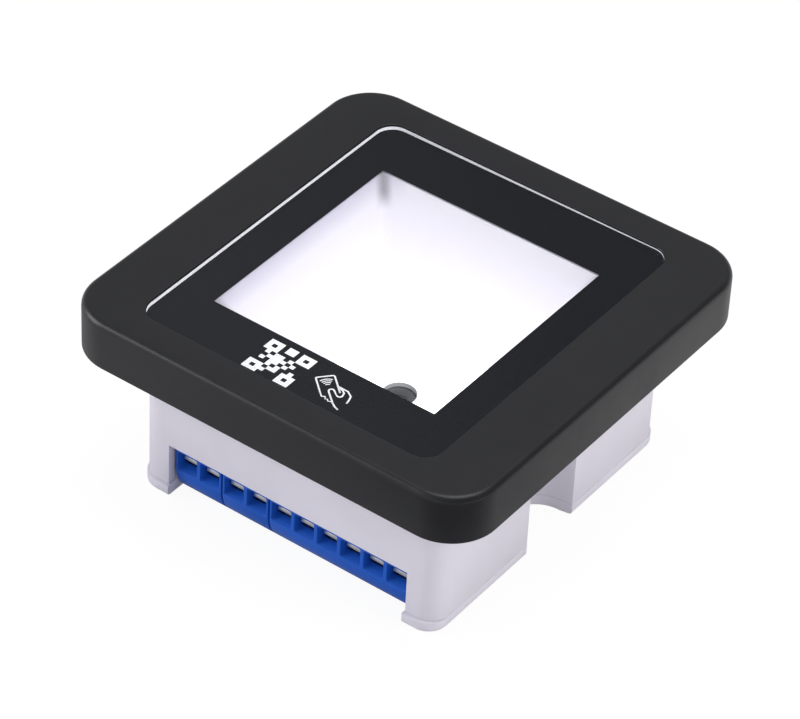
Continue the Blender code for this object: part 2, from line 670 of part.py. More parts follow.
def antenna_link():
    """The flat cable down to the main board, and the connector that it plugs into."""
    length, width, height = CONNECTOR_SIZE
    bottom = BOARD_TOP + CLEARANCE
    connector = box("antenna_connector",
                    (-length / 2, CABLE_Y - width / 2, bottom),
                    (length / 2, CABLE_Y + width / 2, bottom + height), PARTS, CONNECTOR_CREAM)
    mouth_x = CABLE_WIDTH / 2 + CLEARANCE
    mouth_y = CABLE_THICKNESS / 2 + CLEARANCE
    cut(connector, box("connector_mouth", (-mouth_x, CABLE_Y - mouth_y, bottom + CONNECTOR_FLOOR),
                       (mouth_x, CABLE_Y + mouth_y, bottom + height + OVERCUT), CUTTERS))
    box("antenna_cable",
        (-CABLE_WIDTH / 2, CABLE_Y - CABLE_THICKNESS / 2, bottom + CONNECTOR_FLOOR + CLEARANCE),
        (CABLE_WIDTH / 2, CABLE_Y + CABLE_THICKNESS / 2, ANTENNA_BOTTOM - CLEARANCE),
        PARTS, CABLE_WHITE)


# Rear housing: a moulded box wall with round screw channels, corner posts and board bosses, and
# an open front corner along -Y for the terminals.

def rear_housing():
    housing = extruded("rear_housing",
                       [box_outline(0, 0), box_outline(HOUSING_WALL, CHANNEL_WALL)],
                       HOUSING_BOTTOM, HOUSING_TOP, PARTS, WHITE_ABS)
    join(housing,
         drums("corner_posts", POST_PLACES, HOUSING_BOTTOM, HOUSING_TOP, POST_RADIUS),
         drums("board_bosses", BOSS_PLACES, BOARD_TOP + CLEARANCE, HOUSING_TOP, BOSS_RADIUS))
    pilot = SCREW_SHANK_RADIUS + CLEARANCE
    half = ROW_LENGTH / 2 + OPENING_END_MARGIN
    cut(housing,
        drums("cover_pilots", POST_PLACES, HOUSING_BOTTOM - OVERCUT,
              HOUSING_BOTTOM + SCREW_LENGTH, pilot),
        drums("plate_pilots", POST_PLACES, HOUSING_TOP - SCREW_LENGTH,
              HOUSING_TOP + OVERCUT, pilot),
        drums("boss_pilots", BOSS_PLACES, BOARD_TOP + CLEARANCE - OVERCUT,
              BOARD_TOP + SCREW_LENGTH, pilot),
        box("terminal_opening", (-half, -HOUSING_HALF_Y - OVERCUT, HOUSING_BOTTOM - OVERCUT),
            (half, -HOUSING_HALF_Y + HOUSING_WALL + OVERCUT, BLOCK_TOP + OPENING_TOP_MARGIN),
            CUTTERS))


# Rear cover: a flat plate with the housing's outline, a locating lip, countersunk corner holes,
# the terminals' cut-out and a small grille over the buzzer.

def cover_lip():
    outer = HOUSING_WALL + CLEARANCE
    lip = extruded("cover_lip",
                   [box_outline(outer, CHANNEL_WALL + CLEARANCE),
                    box_outline(outer + COVER_LIP_WIDTH,
                                CHANNEL_WALL + CLEARANCE + COVER_LIP_WIDTH)],
                   COVER_THICKNESS - CLEARANCE, COVER_THICKNESS + COVER_LIP_HEIGHT, CUTTERS)
    cut(lip, drums("lip_post_room", POST_PLACES, 0, HOUSING_TOP, POST_RADIUS + CLEARANCE))
    return lip


def rear_cover():
    cover = extruded("rear_cover", [box_outline(0, 0)], 0, COVER_THICKNESS, PARTS, WHITE_ABS)
    round_edges(cover, 0, COVER_EDGE_RADIUS, 1)
    join(cover, cover_lip())
    half = ROW_LENGTH / 2 + CLEARANCE
    grille = [BUZZER_PLACE] + circle(BUZZER_PLACE, GRILLE_RING_RADIUS, 6)
    through = COVER_THICKNESS + COVER_LIP_HEIGHT + OVERCUT
    cut(cover,
        box("cover_terminal_cut", (-half, -HOUSING_HALF_Y - OVERCUT, -OVERCUT),
            (half, BLOCK_REAR + CLEARANCE, through), CUTTERS),
        drums("cover_holes", POST_PLACES, -OVERCUT, through, SCREW_SHANK_RADIUS + CLEARANCE),
        drums("cover_head_seats", POST_PLACES, -OVERCUT,
              SCREW_HEAD_HEIGHT + CLEARANCE, SCREW_HEAD_RADIUS + CLEARANCE),
        drums("buzzer_grille", grille, -OVERCUT, through, GRILLE_HOLE_RADIUS))


# Screw terminals: curved modules with a flared wire entry, a contact and a clamp screw per way.

def block_profile():
    """The module's side view as (y, z): upright front, curved in towards the back edge."""
    drop = BLOCK_CURVE_START
    radius = (drop ** 2 + BLOCK_CURVE_INSET ** 2) / (2 * BLOCK_CURVE_INSET)
    sweep = math.degrees(math.asin(drop / radius))
    centre = (BLOCK_FRONT + radius, BLOCK_BOTTOM + BLOCK_CURVE_START)
    return [(BLOCK_REAR, BLOCK_BOTTOM), (BLOCK_REAR, BLOCK_TOP), (BLOCK_FRONT, BLOCK_TOP),
            *arc(centre, radius, 180, 180 + sweep, CORNER_STEPS)]


def entry_funnels(name, centres):
    """Wire entries: the mouth is a little wider and lower than the throat behind the sill."""
    throat_y = BLOCK_FRONT + ENTRY_LIP
    sill = BLOCK_BOTTOM + ENTRY_SILL
    top = BLOCK_BOTTOM + CONTACT_BOTTOM + CONTACT_HEIGHT + CLEARANCE
    bm = bmesh.new()
    for x in centres:
        corners = add_box(bm, (x - CAVITY_HALF, BLOCK_FRONT - OVERCUT, sill),
                          (x + CAVITY_HALF, throat_y + CLEARANCE, top))
        for vertex in corners:
            at_mouth = vertex.co.y < throat_y
            if at_mouth:
                vertex.co.x += math.copysign(ENTRY_FLARE, vertex.co.x - x)
            if at_mouth and vertex.co.z > (sill + top) / 2:
                vertex.co.z += ENTRY_HEAD_ROOM
            elif not at_mouth and vertex.co.z < (sill + top) / 2:
                vertex.co.z += ENTRY_RAMP_RISE
    return from_bmesh(bm, name, CUTTERS)


def contact_rooms(name, centres):
    low = BLOCK_BOTTOM + CONTACT_BOTTOM - CLEARANCE
    high = BLOCK_BOTTOM + CONTACT_BOTTOM + CONTACT_HEIGHT + CLEARANCE
    bm = bmesh.new()
    for x in centres:
        add_box(bm, (x - CAVITY_HALF, BLOCK_FRONT + ENTRY_LIP, low),
                (x + CAVITY_HALF, BLOCK_REAR - BLOCK_REAR_WALL, high))
    return from_bmesh(bm, name, CUTTERS)


def terminal_block(name, left, ways):
    """One module from x = left, its profile swept along X."""
    width = ways * WAY_PITCH
    block = extruded(name, [block_profile()], -width / 2, width / 2, PARTS, TERMINAL_BLUE)
    block.data.transform(Matrix.Translation((left + width / 2, 0, 0))
                         @ Matrix(((0, 0, 1, 0), (1, 0, 0, 0), (0, 1, 0, 0), (0, 0, 0, 1))))
    centres = [left + (way + 0.5) * WAY_PITCH for way in range(ways)]
    screws = [(x, CLAMP_SCREW_Y) for x in centres]
    well_top = BLOCK_BOTTOM + CLAMP_HEAD_SINK + CLAMP_HEAD_HEIGHT + CLEARANCE
    cut(block,
        entry_funnels(name + "_entries", centres),
        contact_rooms(name + "_rooms", centres),
        drums(name + "_wells", screws, BLOCK_BOTTOM - OVERCUT, well_top,
              CLAMP_SCREW_RADIUS + CLEARANCE),
        drums(name + "_shank_holes", screws, well_top - CLEARANCE,
              BLOCK_BOTTOM + CONTACT_BOTTOM, CLAMP_SHANK_RADIUS + CLEARANCE),
        drums(name + "_pin_holes", [(x, PIN_Y) for x in centres],
              BLOCK_BOTTOM + CONTACT_BOTTOM + CONTACT_HEIGHT, BLOCK_TOP + OVERCUT,
              PIN_RADIUS + CLEARANCE, PIN_SEGMENTS))
    return centres


def terminal_contact(name, x):
    """A folded strip: upper plate, rear web and threaded lower plate, with a solder pin."""
    front = BLOCK_FRONT + CONTACT_FRONT
    lower_front = BLOCK_FRONT + ENTRY_LIP + CLEARANCE
    rear = BLOCK_REAR - BLOCK_REAR_WALL - CLEARANCE
    low = BLOCK_BOTTOM + CONTACT_BOTTOM
    high = low + CONTACT_HEIGHT
    strip = CONTACT_THICKNESS
    profile = [(lower_front, low), (rear, low), (rear, high), (front, high),
               (front, high - strip), (rear - strip, high - strip),
               (rear - strip, low + strip), (lower_front, low + strip)]
    half = CAVITY_HALF - CLEARANCE
    contact = extruded(name, [profile], -half, half, PARTS, TIN_PLATE)
    contact.data.transform(Matrix.Translation((x, 0, 0))
                           @ Matrix(((0, 0, 1, 0), (1, 0, 0, 0), (0, 1, 0, 0), (0, 0, 0, 1))))
    join(contact, drums(name + "_pin", [(x, PIN_Y)], high - strip / 2,
                        BOARD_TOP + PIN_PROTRUSION, PIN_RADIUS, PIN_SEGMENTS))
    cut(contact, drums(name + "_thread", [(x, CLAMP_SCREW_Y)], low - OVERCUT,
                       low + strip + OVERCUT / 2, CLAMP_SHANK_RADIUS + CLEARANCE))


def clamp_screws(centres):
    """Slotted screws, heads towards the back, tips short of the upper contact plate."""
    head_z = BLOCK_BOTTOM + CLAMP_HEAD_SINK
    shoulder = head_z + CLAMP_HEAD_HEIGHT
    tip = BLOCK_BOTTOM + CONTACT_BOTTOM + CONTACT_THICKNESS + CLAMP_TIP_REACH
    chamfer = CLAMP_CHAMFER
    screw = turned("clamp_screw",
                   [(0, tip), (CLAMP_SHANK_RADIUS - chamfer, tip),
                    (CLAMP_SHANK_RADIUS, tip - chamfer), (CLAMP_SHANK_RADIUS, shoulder),
                    (CLAMP_SCREW_RADIUS, shoulder), (CLAMP_SCREW_RADIUS, head_z + chamfer),
                    (CLAMP_SCREW_RADIUS - chamfer, head_z), (0, head_z)],
                   PARTS, SCREW_NICKEL, SCREW_SEGMENTS)
    reach = CLAMP_SCREW_RADIUS + OVERCUT
    cut(screw, box("drive_slot", (-reach, -DRIVE_SLOT_WIDTH / 2, head_z - OVERCUT),
                   (reach, DRIVE_SLOT_WIDTH / 2, head_z + DRIVE_SLOT_DEPTH), CUTTERS))
    names = [f"clamp_screw_{i + 1:02d}" for i in range(len(centres))]
    place_copies(screw, names, [(x, CLAMP_SCREW_Y, 0) for x in centres])


def terminals():
    """All modules in a row; returns the middle of each way."""
    left = -ROW_LENGTH / 2
    centres = []
    for index, ways in enumerate(WAYS_PER_BLOCK):
        centres += terminal_block(f"terminal_block_{index + 1}", left, ways)
        left += ways * WAY_PITCH + BLOCK_SPACING
    for index, x in enumerate(centres):
        terminal_contact(f"terminal_contact_{index + 1:02d}", x)
    clamp_screws(centres)
    return centres


# Light box: the flared reflector with the opal diffuser in its foot.

def light_reflector():
    slope_radius = REFLECTOR_CORNER_RADIUS + REFLECTOR_WALL
    collar_half = FLOOR_HALF + REFLECTOR_WALL
    reflector = flared("light_reflector",
                       [(collar_half, FLOOR_Z), (NECK_HALF + REFLECTOR_WALL, HOUSING_TOP),
                        (WINDOW_HALF + REFLECTOR_WALL, REFLECTOR_TOP)],
                       slope_radius, PARTS, REFLECTOR_WHITE)
    foot_radius = slope_radius * collar_half / (WINDOW_HALF + REFLECTOR_WALL)
    foot_half = collar_half + FOOT_STEP
    join(reflector,
         extruded("reflector_foot", [rounded_rectangle(foot_half, foot_half, foot_radius)],
                  REFLECTOR_BOTTOM, FLOOR_Z + CLEARANCE, CUTTERS))
    led_half = SEAT_HALF - DIFFUSER_LEDGE
    rise = 2 * CLEARANCE
    cut(reflector,
        flared("reflector_bore",
               [(FLOOR_HALF, FLOOR_Z), (NECK_HALF, HOUSING_TOP),
                (WINDOW_HALF + REFLECTOR_SLOPE * rise, REFLECTOR_TOP + rise)],
               REFLECTOR_CORNER_RADIUS, CUTTERS),
        extruded("diffuser_seat", [rounded_rectangle(SEAT_HALF, SEAT_HALF, SEAT_RADIUS)],
                 DIFFUSER_BOTTOM - CLEARANCE, FLOOR_Z + rise, CUTTERS),
        extruded("led_room", [rounded_rectangle(led_half, led_half, SEAT_RADIUS)],
                 REFLECTOR_BOTTOM - OVERCUT, DIFFUSER_BOTTOM, CUTTERS))


def diffuser():
    half = SEAT_HALF - CLEARANCE
    extruded("diffuser",
             [rounded_rectangle(half, half, SEAT_RADIUS - CLEARANCE),
              circle(CAMERA_PLACE, BARREL_RADIUS + CLEARANCE, CAMERA_SEGMENTS)],
             DIFFUSER_BOTTOM, FLOOR_Z, PARTS, DIFFUSER_OPAL)


# Main board: follows the housing's inside, cut back around the corner posts.

def main_board(way_centres):
    inset = HOUSING_WALL + CLEARANCE
    board = extruded("main_board", [box_outline(inset, CHANNEL_WALL + CLEARANCE)],
                     BOARD_BOTTOM, BOARD_TOP, PARTS, BOARD_GREEN)
    low, high = BOARD_BOTTOM - OVERCUT, BOARD_TOP + OVERCUT
    cut(board,
        drums("board_pin_holes", [(x, PIN_Y) for x in way_centres], low, high,
              PIN_RADIUS + CLEARANCE, PIN_SEGMENTS),
        drums("board_screw_holes", BOARD_SCREW_PLACES, low, high,
              SCREW_SHANK_RADIUS + CLEARANCE),
        drums("board_post_room", POST_PLACES, low, high, POST_RADIUS + CLEARANCE))


def lights():
    length, width, height = LED_SIZE
    bottom = BOARD_TOP + CLEARANCE
    places = [((column - (LEDS_PER_ROW - 1) / 2) * LED_PITCH, y)
              for y in (-LED_ROW_Y, LED_ROW_Y) for column in range(LEDS_PER_ROW)]
    for number, (x, y) in enumerate(places, 1):
        box(f"led_{number}", (x - length / 2, y - width / 2, bottom),
            (x + length / 2, y + width / 2, bottom + height), PARTS, LED_YELLOW)


def camera():
    """Square holder on the board, a threaded barrel in it and a domed front glass."""
    bottom = BOARD_TOP + CLEARANCE
    half = HOLDER_SIZE / 2
    x, y = CAMERA_PLACE
    holder = box("camera_holder", (x - half, y - half, bottom),
                 (x + half, y + half, bottom + HOLDER_HEIGHT), PARTS, CAMERA_BLACK)
    cut(holder, drums("holder_bore", [CAMERA_PLACE], bottom - OVERCUT,
                      bottom + HOLDER_HEIGHT + OVERCUT, BARREL_RADIUS + CLEARANCE))
    top = FLOOR_Z - BARREL_BELOW_FLOOR
    low = bottom + CLEARANCE
    glass_seat = top - GLASS_THICKNESS - 2 * CLEARANCE
    barrel = turned("camera_barrel",
                    [(0, glass_seat), (BARREL_BORE, glass_seat), (BARREL_BORE, top),
                     (BARREL_RADIUS - CLEARANCE, top), (BARREL_RADIUS, top - CLEARANCE),
                     (BARREL_RADIUS, low), (0, low)], PARTS, CAMERA_BLACK, CAMERA_SEGMENTS)
    rim = BARREL_BORE - CLEARANCE
    glass_low = glass_seat + CLEARANCE
    glass = turned("camera_lens",
                   [(0, glass_low + GLASS_THICKNESS),
                    (rim / 2, glass_low + GLASS_THICKNESS - GLASS_SHOULDER_DROP),
                    (rim, glass_low + GLASS_THICKNESS / 2), (rim, glass_low), (0, glass_low)],
                   PARTS, CAMERA_GLASS, CAMERA_SEGMENTS)
    for piece in (barrel, glass):
        piece.location = (x, y, 0)


def hanging_box(name, place, size, mat):
    """A flat package under the main board."""
    length, width, height = size
    top = BOARD_BOTTOM - CLEARANCE
    package = box(name, (place[0] - length / 2, place[1] - width / 2, top - height),
                  (place[0] + length / 2, place[1] + width / 2, top), PARTS, mat)
    soften(package, PACKAGE_EDGE_RADIUS)


def electronics():
    hanging_box("processor_chip", PROCESSOR_PLACE, PROCESSOR_SIZE, CHIP_BLACK)
    hanging_box("memory_chip", MEMORY_PLACE, MEMORY_SIZE, CHIP_BLACK)
    hanging_box("power_inductor", INDUCTOR_PLACE, INDUCTOR_SIZE, FERRITE_GREY)
    top = BOARD_BOTTOM - CLEARANCE
    radius, low = CAPACITOR_RADIUS, top - CAPACITOR_HEIGHT
    groove = CAN_GROOVE
    groove_z = top - CAN_GROOVE_FROM_TOP
    can = turned("bulk_capacitor",
                 [(0, top), (radius, top), (radius, groove_z + groove),
                  (radius - groove, groove_z), (radius, groove_z - groove),
                  (radius, low + groove), (radius - groove, low), (0, low)],
                 PARTS, CAN_ALUMINIUM, CAN_SEGMENTS)
    can.location = (*CAPACITOR_PLACE, 0)
    low = top - BUZZER_HEIGHT
    chamfer = BUZZER_CHAMFER
    buzzer = turned("buzzer",
                    [(0, top), (BUZZER_RADIUS, top), (BUZZER_RADIUS, low + chamfer),
                     (BUZZER_RADIUS - chamfer, low), (BUZZER_SOUND_HOLE, low),
                     (BUZZER_SOUND_HOLE, low + SOUND_HOLE_DEPTH),
                     (0, low + SOUND_HOLE_DEPTH)], PARTS, CHIP_BLACK, BUZZER_SEGMENTS)
    buzzer.location = (*BUZZER_PLACE, 0)


# Fasteners: one self-tapping screw, used point up in the cover and board and point down in the
# mounting plate. Its head rests at z = 0 with the point towards +Z.

def tapping_screw(mat):
    tip = SCREW_LENGTH - 3 * CLEARANCE
    rim = SCREW_HEAD_CHAMFER
    screw = turned("tapping_screw",
                   [(0, tip), (SCREW_POINT_RADIUS, tip),
                    (SCREW_SHANK_RADIUS, tip - SCREW_POINT_LENGTH), (SCREW_SHANK_RADIUS, 0),
                    (SCREW_HEAD_RADIUS, 0), (SCREW_HEAD_RADIUS, -SCREW_HEAD_HEIGHT + rim),
                    (SCREW_HEAD_RADIUS - rim, -SCREW_HEAD_HEIGHT), (0, -SCREW_HEAD_HEIGHT)],
                   PARTS, mat, SCREW_SEGMENTS)
    low, high = -SCREW_HEAD_HEIGHT - OVERCUT, -SCREW_HEAD_HEIGHT + CROSS_DEPTH
    for name, x, y in (("cross_slot_x", CROSS_ARM / 2, CROSS_WIDTH / 2),
                       ("cross_slot_y", CROSS_WIDTH / 2, CROSS_ARM / 2)):
        cut(screw, box(name, (-x, -y, low), (x, y, high), CUTTERS))
    return screw


def fasteners():
    seat = SCREW_HEAD_HEIGHT
    place_copies(tapping_screw(SCREW_NICKEL), [f"cover_screw_{i}" for i in range(1, 5)],
                 [(x, y, seat) for x, y in POST_PLACES])
    place_copies(tapping_screw(SCREW_NICKEL), ["board_screw_1", "board_screw_2"],
                 [(x, y, BOARD_BOTTOM - CLEARANCE) for x, y in BOARD_SCREW_PLACES])
    place_copies(tapping_screw(SCREW_BLACK), [f"plate_screw_{i}" for i in range(1, 5)],
                 [(x, y, PLATE_TOP + CLEARANCE) for x, y in POST_PLACES], flip=True)


bezel_frame()
front_lens()
lens_tape()
mounting_plate()
antenna_board()
antenna_link()
rear_housing()
rear_cover()
main_board(terminals())
light_reflector()
diffuser()
lights()
camera()
electronics()
fasteners()
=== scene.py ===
"""A flush-mounted QR code and card reader, lying on its back on a pale table."""
import math

import bmesh
import bpy
from mathutils import Matrix, Vector


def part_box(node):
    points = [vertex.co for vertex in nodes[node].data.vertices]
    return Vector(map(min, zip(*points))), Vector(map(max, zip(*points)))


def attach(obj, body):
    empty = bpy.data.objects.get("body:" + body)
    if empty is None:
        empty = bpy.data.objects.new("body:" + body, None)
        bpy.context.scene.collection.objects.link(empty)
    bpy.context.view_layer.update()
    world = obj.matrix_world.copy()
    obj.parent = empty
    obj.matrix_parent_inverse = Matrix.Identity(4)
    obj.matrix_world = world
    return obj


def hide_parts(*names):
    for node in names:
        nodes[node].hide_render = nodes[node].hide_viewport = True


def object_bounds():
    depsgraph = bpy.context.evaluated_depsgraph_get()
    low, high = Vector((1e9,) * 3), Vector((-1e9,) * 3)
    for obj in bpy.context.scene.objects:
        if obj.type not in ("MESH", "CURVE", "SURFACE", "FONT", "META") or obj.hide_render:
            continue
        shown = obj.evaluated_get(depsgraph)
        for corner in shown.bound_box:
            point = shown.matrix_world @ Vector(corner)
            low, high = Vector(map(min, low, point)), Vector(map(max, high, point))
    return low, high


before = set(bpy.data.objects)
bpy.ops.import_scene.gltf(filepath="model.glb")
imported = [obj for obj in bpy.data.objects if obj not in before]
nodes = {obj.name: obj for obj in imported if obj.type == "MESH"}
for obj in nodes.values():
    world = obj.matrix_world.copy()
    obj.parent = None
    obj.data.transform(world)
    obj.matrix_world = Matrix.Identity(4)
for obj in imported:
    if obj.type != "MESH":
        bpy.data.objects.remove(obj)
cad_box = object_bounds()
MM = 0.001


# Rear cover: the flat plate that closes the white housing, injection moulded in the same pale
# ABS. Its back edge is rounded, its front edge is cut away for the screw terminals, four deep
# holes take the cover screws and a small grille lets the buzzer be heard.

COVER_EDGE_RADIUS = 0.7 * MM
LIP_TOP = 4.35 * MM
HOUSING_CORNER_RADIUS = 4.0 * MM
HOUSING_WALL = 2.0 * MM
CHANNEL_X = 30.0 * MM
CHANNEL_RADIUS = 6.6 * MM
CHANNEL_WALL = 1.2 * MM
CHANNEL_FLARE = 0.3 * MM
SEAM = 0.3 * MM
COVER_JOINT = 2.25 * MM
COVER_PROUD = 0.6 * MM
SCREW_HOLE_RADIUS = 1.3 * MM
SCREW_SEAT_RADIUS = 2.3 * MM
SCREW_SEAT_DEPTH = 1.6 * MM
GRILLE_PLACE = (13.0 * MM, 16.0 * MM)
GRILLE_RING = 3.0 * MM
GRILLE_HOLE = 0.8 * MM
PALE_ABS = (0.725, 0.700, 0.762)
CORNER_STEPS = 12
ROUND_STEPS = 32


class Link:
    """A shader socket that works in expressions, so that shader maths reads as maths."""

    def __init__(self, recipe, socket):
        self.recipe = recipe
        self.socket = socket

    def calc(self, operation, first, second=0.0):
        return self.recipe.node("Math", {"operation": operation}, {0: first, 1: second})

    def __add__(self, other):
        return self.calc("ADD", self, other)

    def __sub__(self, other):
        return self.calc("SUBTRACT", self, other)

    def __rsub__(self, other):
        return self.calc("SUBTRACT", other, self)

    def __mul__(self, other):
        return self.calc("MULTIPLY", self, other)

    def __truediv__(self, other):
        return self.calc("DIVIDE", self, other)

    def __gt__(self, other):
        return self.calc("GREATER_THAN", self, other)

    def __lt__(self, other):
        return self.calc("LESS_THAN", self, other)

    def __abs__(self):
        return self.calc("ABSOLUTE", self)

    __radd__ = __add__
    __rmul__ = __mul__

    def larger(self, other):
        return self.calc("MAXIMUM", self, other)

    def fraction(self):
        return self.calc("FRACT", self)


class Recipe:
    """A node tree under construction: a material's, or the world's."""

    def __init__(self, owner):
        owner.use_nodes = True
        self.owner = owner
        self.tree = owner.node_tree
        self.tree.nodes.clear()

    def node(self, kind, settings=None, inputs=None, output=0):
        """One node: its settings come first, then values or links for its sockets."""
        node = self.tree.nodes.new("ShaderNode" + kind)
        for key, value in (settings or {}).items():
            if key == "stops":
                for _ in value[2:]:
                    node.color_ramp.elements.new(0.5)
                for stop, (position, colour) in zip(node.color_ramp.elements, value):
                    stop.position = position
                    stop.color = (*colour, 1.0)
            else:
                setattr(node, key, value)
        for key, value in (inputs or {}).items():
            if isinstance(value, Link):
                self.tree.links.new(value.socket, node.inputs[key])
            elif hasattr(value, "__len__") and node.inputs[key].type == "RGBA":
                node.inputs[key].default_value = (*value, 1.0)
            else:
                node.inputs[key].default_value = value
        return Link(self, node.outputs[output]) if node.outputs else None

    def coordinates(self, stretch=(1, 1, 1), centre=(0, 0, 0)):
        """Object coordinates in metres, measured from the centre and then stretched."""
        spot = self.node("TexCoord", output=3)
        if centre != (0, 0, 0):
            spot = self.node("Mapping", {"vector_type": "TEXTURE"},
                             {"Vector": spot, "Location": centre})
        return self.node("Mapping", {}, {"Vector": spot, "Scale": stretch})

    def axis(self, spot, index):
        return self.node("SeparateXYZ", {}, {0: spot}, output=index)

    def length(self, spot):
        return self.node("VectorMath", {"operation": "LENGTH"}, {0: spot}, output=1)

    def along(self, spot, direction):
        """How far the spot lies in a direction."""
        return self.node("VectorMath", {"operation": "DOT_PRODUCT"}, {0: spot, 1: direction},
                         output=1)

    def noise(self, size, detail=2.0, stretch=(1, 1, 1)):
        """Cloudy variation between 0 and 1 with blots of about the given size in metres."""
        return self.node("TexNoise", {}, {"Vector": self.coordinates(stretch), "Scale": 1 / size,
                                          "Detail": detail})

    def cells(self, size, stretch=(1, 1, 1), output=0, shape="EUCLIDEAN"):
        """Cells of about the given size: distance from each one's middle, or, as 1, its colour."""
        return self.node("TexVoronoi", {"distance": shape},
                         {"Vector": self.coordinates(stretch), "Scale": 1 / size}, output=output)

    def between(self, value, low, high, to_low=0.0, to_high=1.0, smooth=False):
        return self.node("MapRange",
                         {"interpolation_type": "SMOOTHSTEP" if smooth else "LINEAR"},
                         {"Value": value, "From Min": low, "From Max": high,
                          "To Min": to_low, "To Max": to_high})

    def vary(self, noise, low, high):
        """Spread a noise, which seldom leaves 0.3 to 0.7, from low to high."""
        return self.between(noise, 0.3, 0.7, low, high)

    def tint(self, mask, first, second):
        """The first colour where the mask is 0 and the second where it is 1."""
        return self.node("Mix", {"data_type": "RGBA"}, {0: mask, 6: first, 7: second}, output=2)

    def bump(self, height, distance, strength=1.0):
        return self.node("Bump", {}, {"Strength": strength, "Distance": distance,
                                      "Height": height})

    def surface(self, inputs):
        shader = self.node("BsdfPrincipled", {}, inputs)
        self.node("OutputMaterial", {}, {"Surface": shader})
        return self.owner


def new_material(name):
    return Recipe(bpy.data.materials.new(name))


def shade(colour, factor):
    return tuple(channel * factor for channel in colour)


def moulded(name, colour, roughness, grain, depth, extra=None):
    """Moulded plastic: a spark-eroded grain, faint flow clouds and slightly polished patches."""
    recipe = new_material(name)
    clouds = recipe.noise(14 * MM, 3.0)
    handling = recipe.noise(3.5 * MM, 4.0)
    sparks = recipe.noise(grain, 2.0)
    base = recipe.tint(recipe.vary(clouds, 0, 1), shade(colour, 0.965), shade(colour, 1.03))
    return recipe.surface({
        "Base Color": base,
        "Roughness": recipe.vary(handling, roughness - 0.04, roughness + 0.05),
        "Normal": recipe.bump(sparks, depth),
        **(extra or {})})


class Pen:
    """Draws a loop of edges in the XY plane from straight runs and arcs, end to end."""

    def __init__(self, bm, x, y, z):
        self.bm = bm
        self.z = z
        self.start = self.tip = bm.verts.new((x, y, z))
        self.edges = []

    def line(self, x, y):
        grown = bmesh.ops.extrude_vert_indiv(self.bm, verts=[self.tip])
        self.tip = grown["verts"][0]
        self.tip.co = (x, y, self.z)
        self.edges += grown["edges"]

    def turn(self, x, y, degrees, steps):
        before = set(self.bm.edges)
        grown = bmesh.ops.spin(self.bm, geom=[self.tip], cent=(x, y, self.z), axis=(0, 0, 1),
                               angle=math.radians(degrees), steps=steps)
        self.tip = [v for v in grown["geom_last"] if isinstance(v, bmesh.types.BMVert)][0]
        self.edges += [edge for edge in self.bm.edges if edge not in before]

    def close(self):
        self.edges.append(self.bm.edges.new((self.tip, self.start)))
        return self.edges


def box_outline(bm, inset, channel_wall, z, proud=0.0):
    """The box in plan, moved in by inset, with a U-shaped screw channel in each X side.

    Its front and rear stand out by proud.
    """
    low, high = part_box("rear_housing")
    half_x, half_y = high.x - inset, high.y - inset + proud
    radius = max(HOUSING_CORNER_RADIUS - inset, SEAM)
    channel = CHANNEL_RADIUS + channel_wall
    mouth = channel + CHANNEL_FLARE
    pen = Pen(bm, half_x, mouth, z)
    for side in (1, -1):
        pen.line(side * half_x, side * (half_y - radius))
        pen.turn(side * (half_x - radius), side * (half_y - radius), 90, CORNER_STEPS)
        pen.line(-side * (half_x - radius), side * half_y)
        pen.turn(-side * (half_x - radius), side * (half_y - radius), 90, CORNER_STEPS)
        pen.line(-side * half_x, side * mouth)
        pen.line(-side * CHANNEL_X, side * channel)
        pen.turn(-side * CHANNEL_X, 0, -180, ROUND_STEPS)
        if side == 1:
            pen.line(-side * half_x, -side * mouth)
    return pen.close()


def bridge(bm, loops, closed=False):
    """Walls between flat loops in order; both ends are capped unless the walls close in a ring.

    The loops stand apart in Z while they are joined, so that level rings join squarely too.
    """
    corners = [{vertex for edge in loop for vertex in edge.verts} for loop in loops]
    heights = [next(iter(vertices)).co.z for vertices in corners]
    for step, vertices in enumerate(corners):
        for vertex in vertices:
            vertex.co.z = step * 20 * MM
    for first, second in zip(loops, loops[1:] + loops[:1] if closed else loops[1:]):
        bmesh.ops.bridge_loops(bm, edges=first + second)
    if not closed:
        bmesh.ops.contextual_create(bm, geom=loops[0])
        bmesh.ops.contextual_create(bm, geom=loops[-1])
    for height, vertices in zip(heights, corners):
        for vertex in vertices:
            vertex.co.z = height


def drum(bm, x, y, low, high, radius, steps=ROUND_STEPS):
    bmesh.ops.create_cone(bm, cap_ends=True, segments=steps, radius1=radius, radius2=radius,
                          depth=high - low, matrix=Matrix.Translation((x, y, (low + high) / 2)))


def block(bm, low, high):
    """A rectangular block between two corners; returns its vertices."""
    low, high = Vector(low), Vector(high)
    matrix = Matrix.Translation((low + high) / 2) @ Matrix.Diagonal((*(high - low), 1))
    return bmesh.ops.create_cube(bm, size=1, matrix=matrix)["verts"]


def middle(node):
    """The middle of a CAD node's box."""
    low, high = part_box(node)
    return (low + high) / 2


def mesh_of(bm, name):
    bmesh.ops.recalc_face_normals(bm, faces=bm.faces)
    mesh = bpy.data.meshes.new(name)
    bm.to_mesh(mesh)
    bm.free()
    return mesh


def place(thing):
    bpy.context.scene.collection.objects.link(thing)
    return thing


def finished_mesh(thing):
    """The mesh of an object once its modifiers or its curve's thickness are applied."""
    bpy.context.view_layer.update()
    graph = bpy.context.evaluated_depsgraph_get()
    return bpy.data.meshes.new_from_object(thing.evaluated_get(graph))


def make(bm, name, finish, slot, *replaced):
    """A piece of the reader, which rides on its one body and stands for the nodes it replaces."""
    piece = place(bpy.data.objects.new(name, mesh_of(bm, name)))
    piece.data.materials.append(finish)
    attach(piece, "root")
    if replaced:
        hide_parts(*replaced)
    return piece


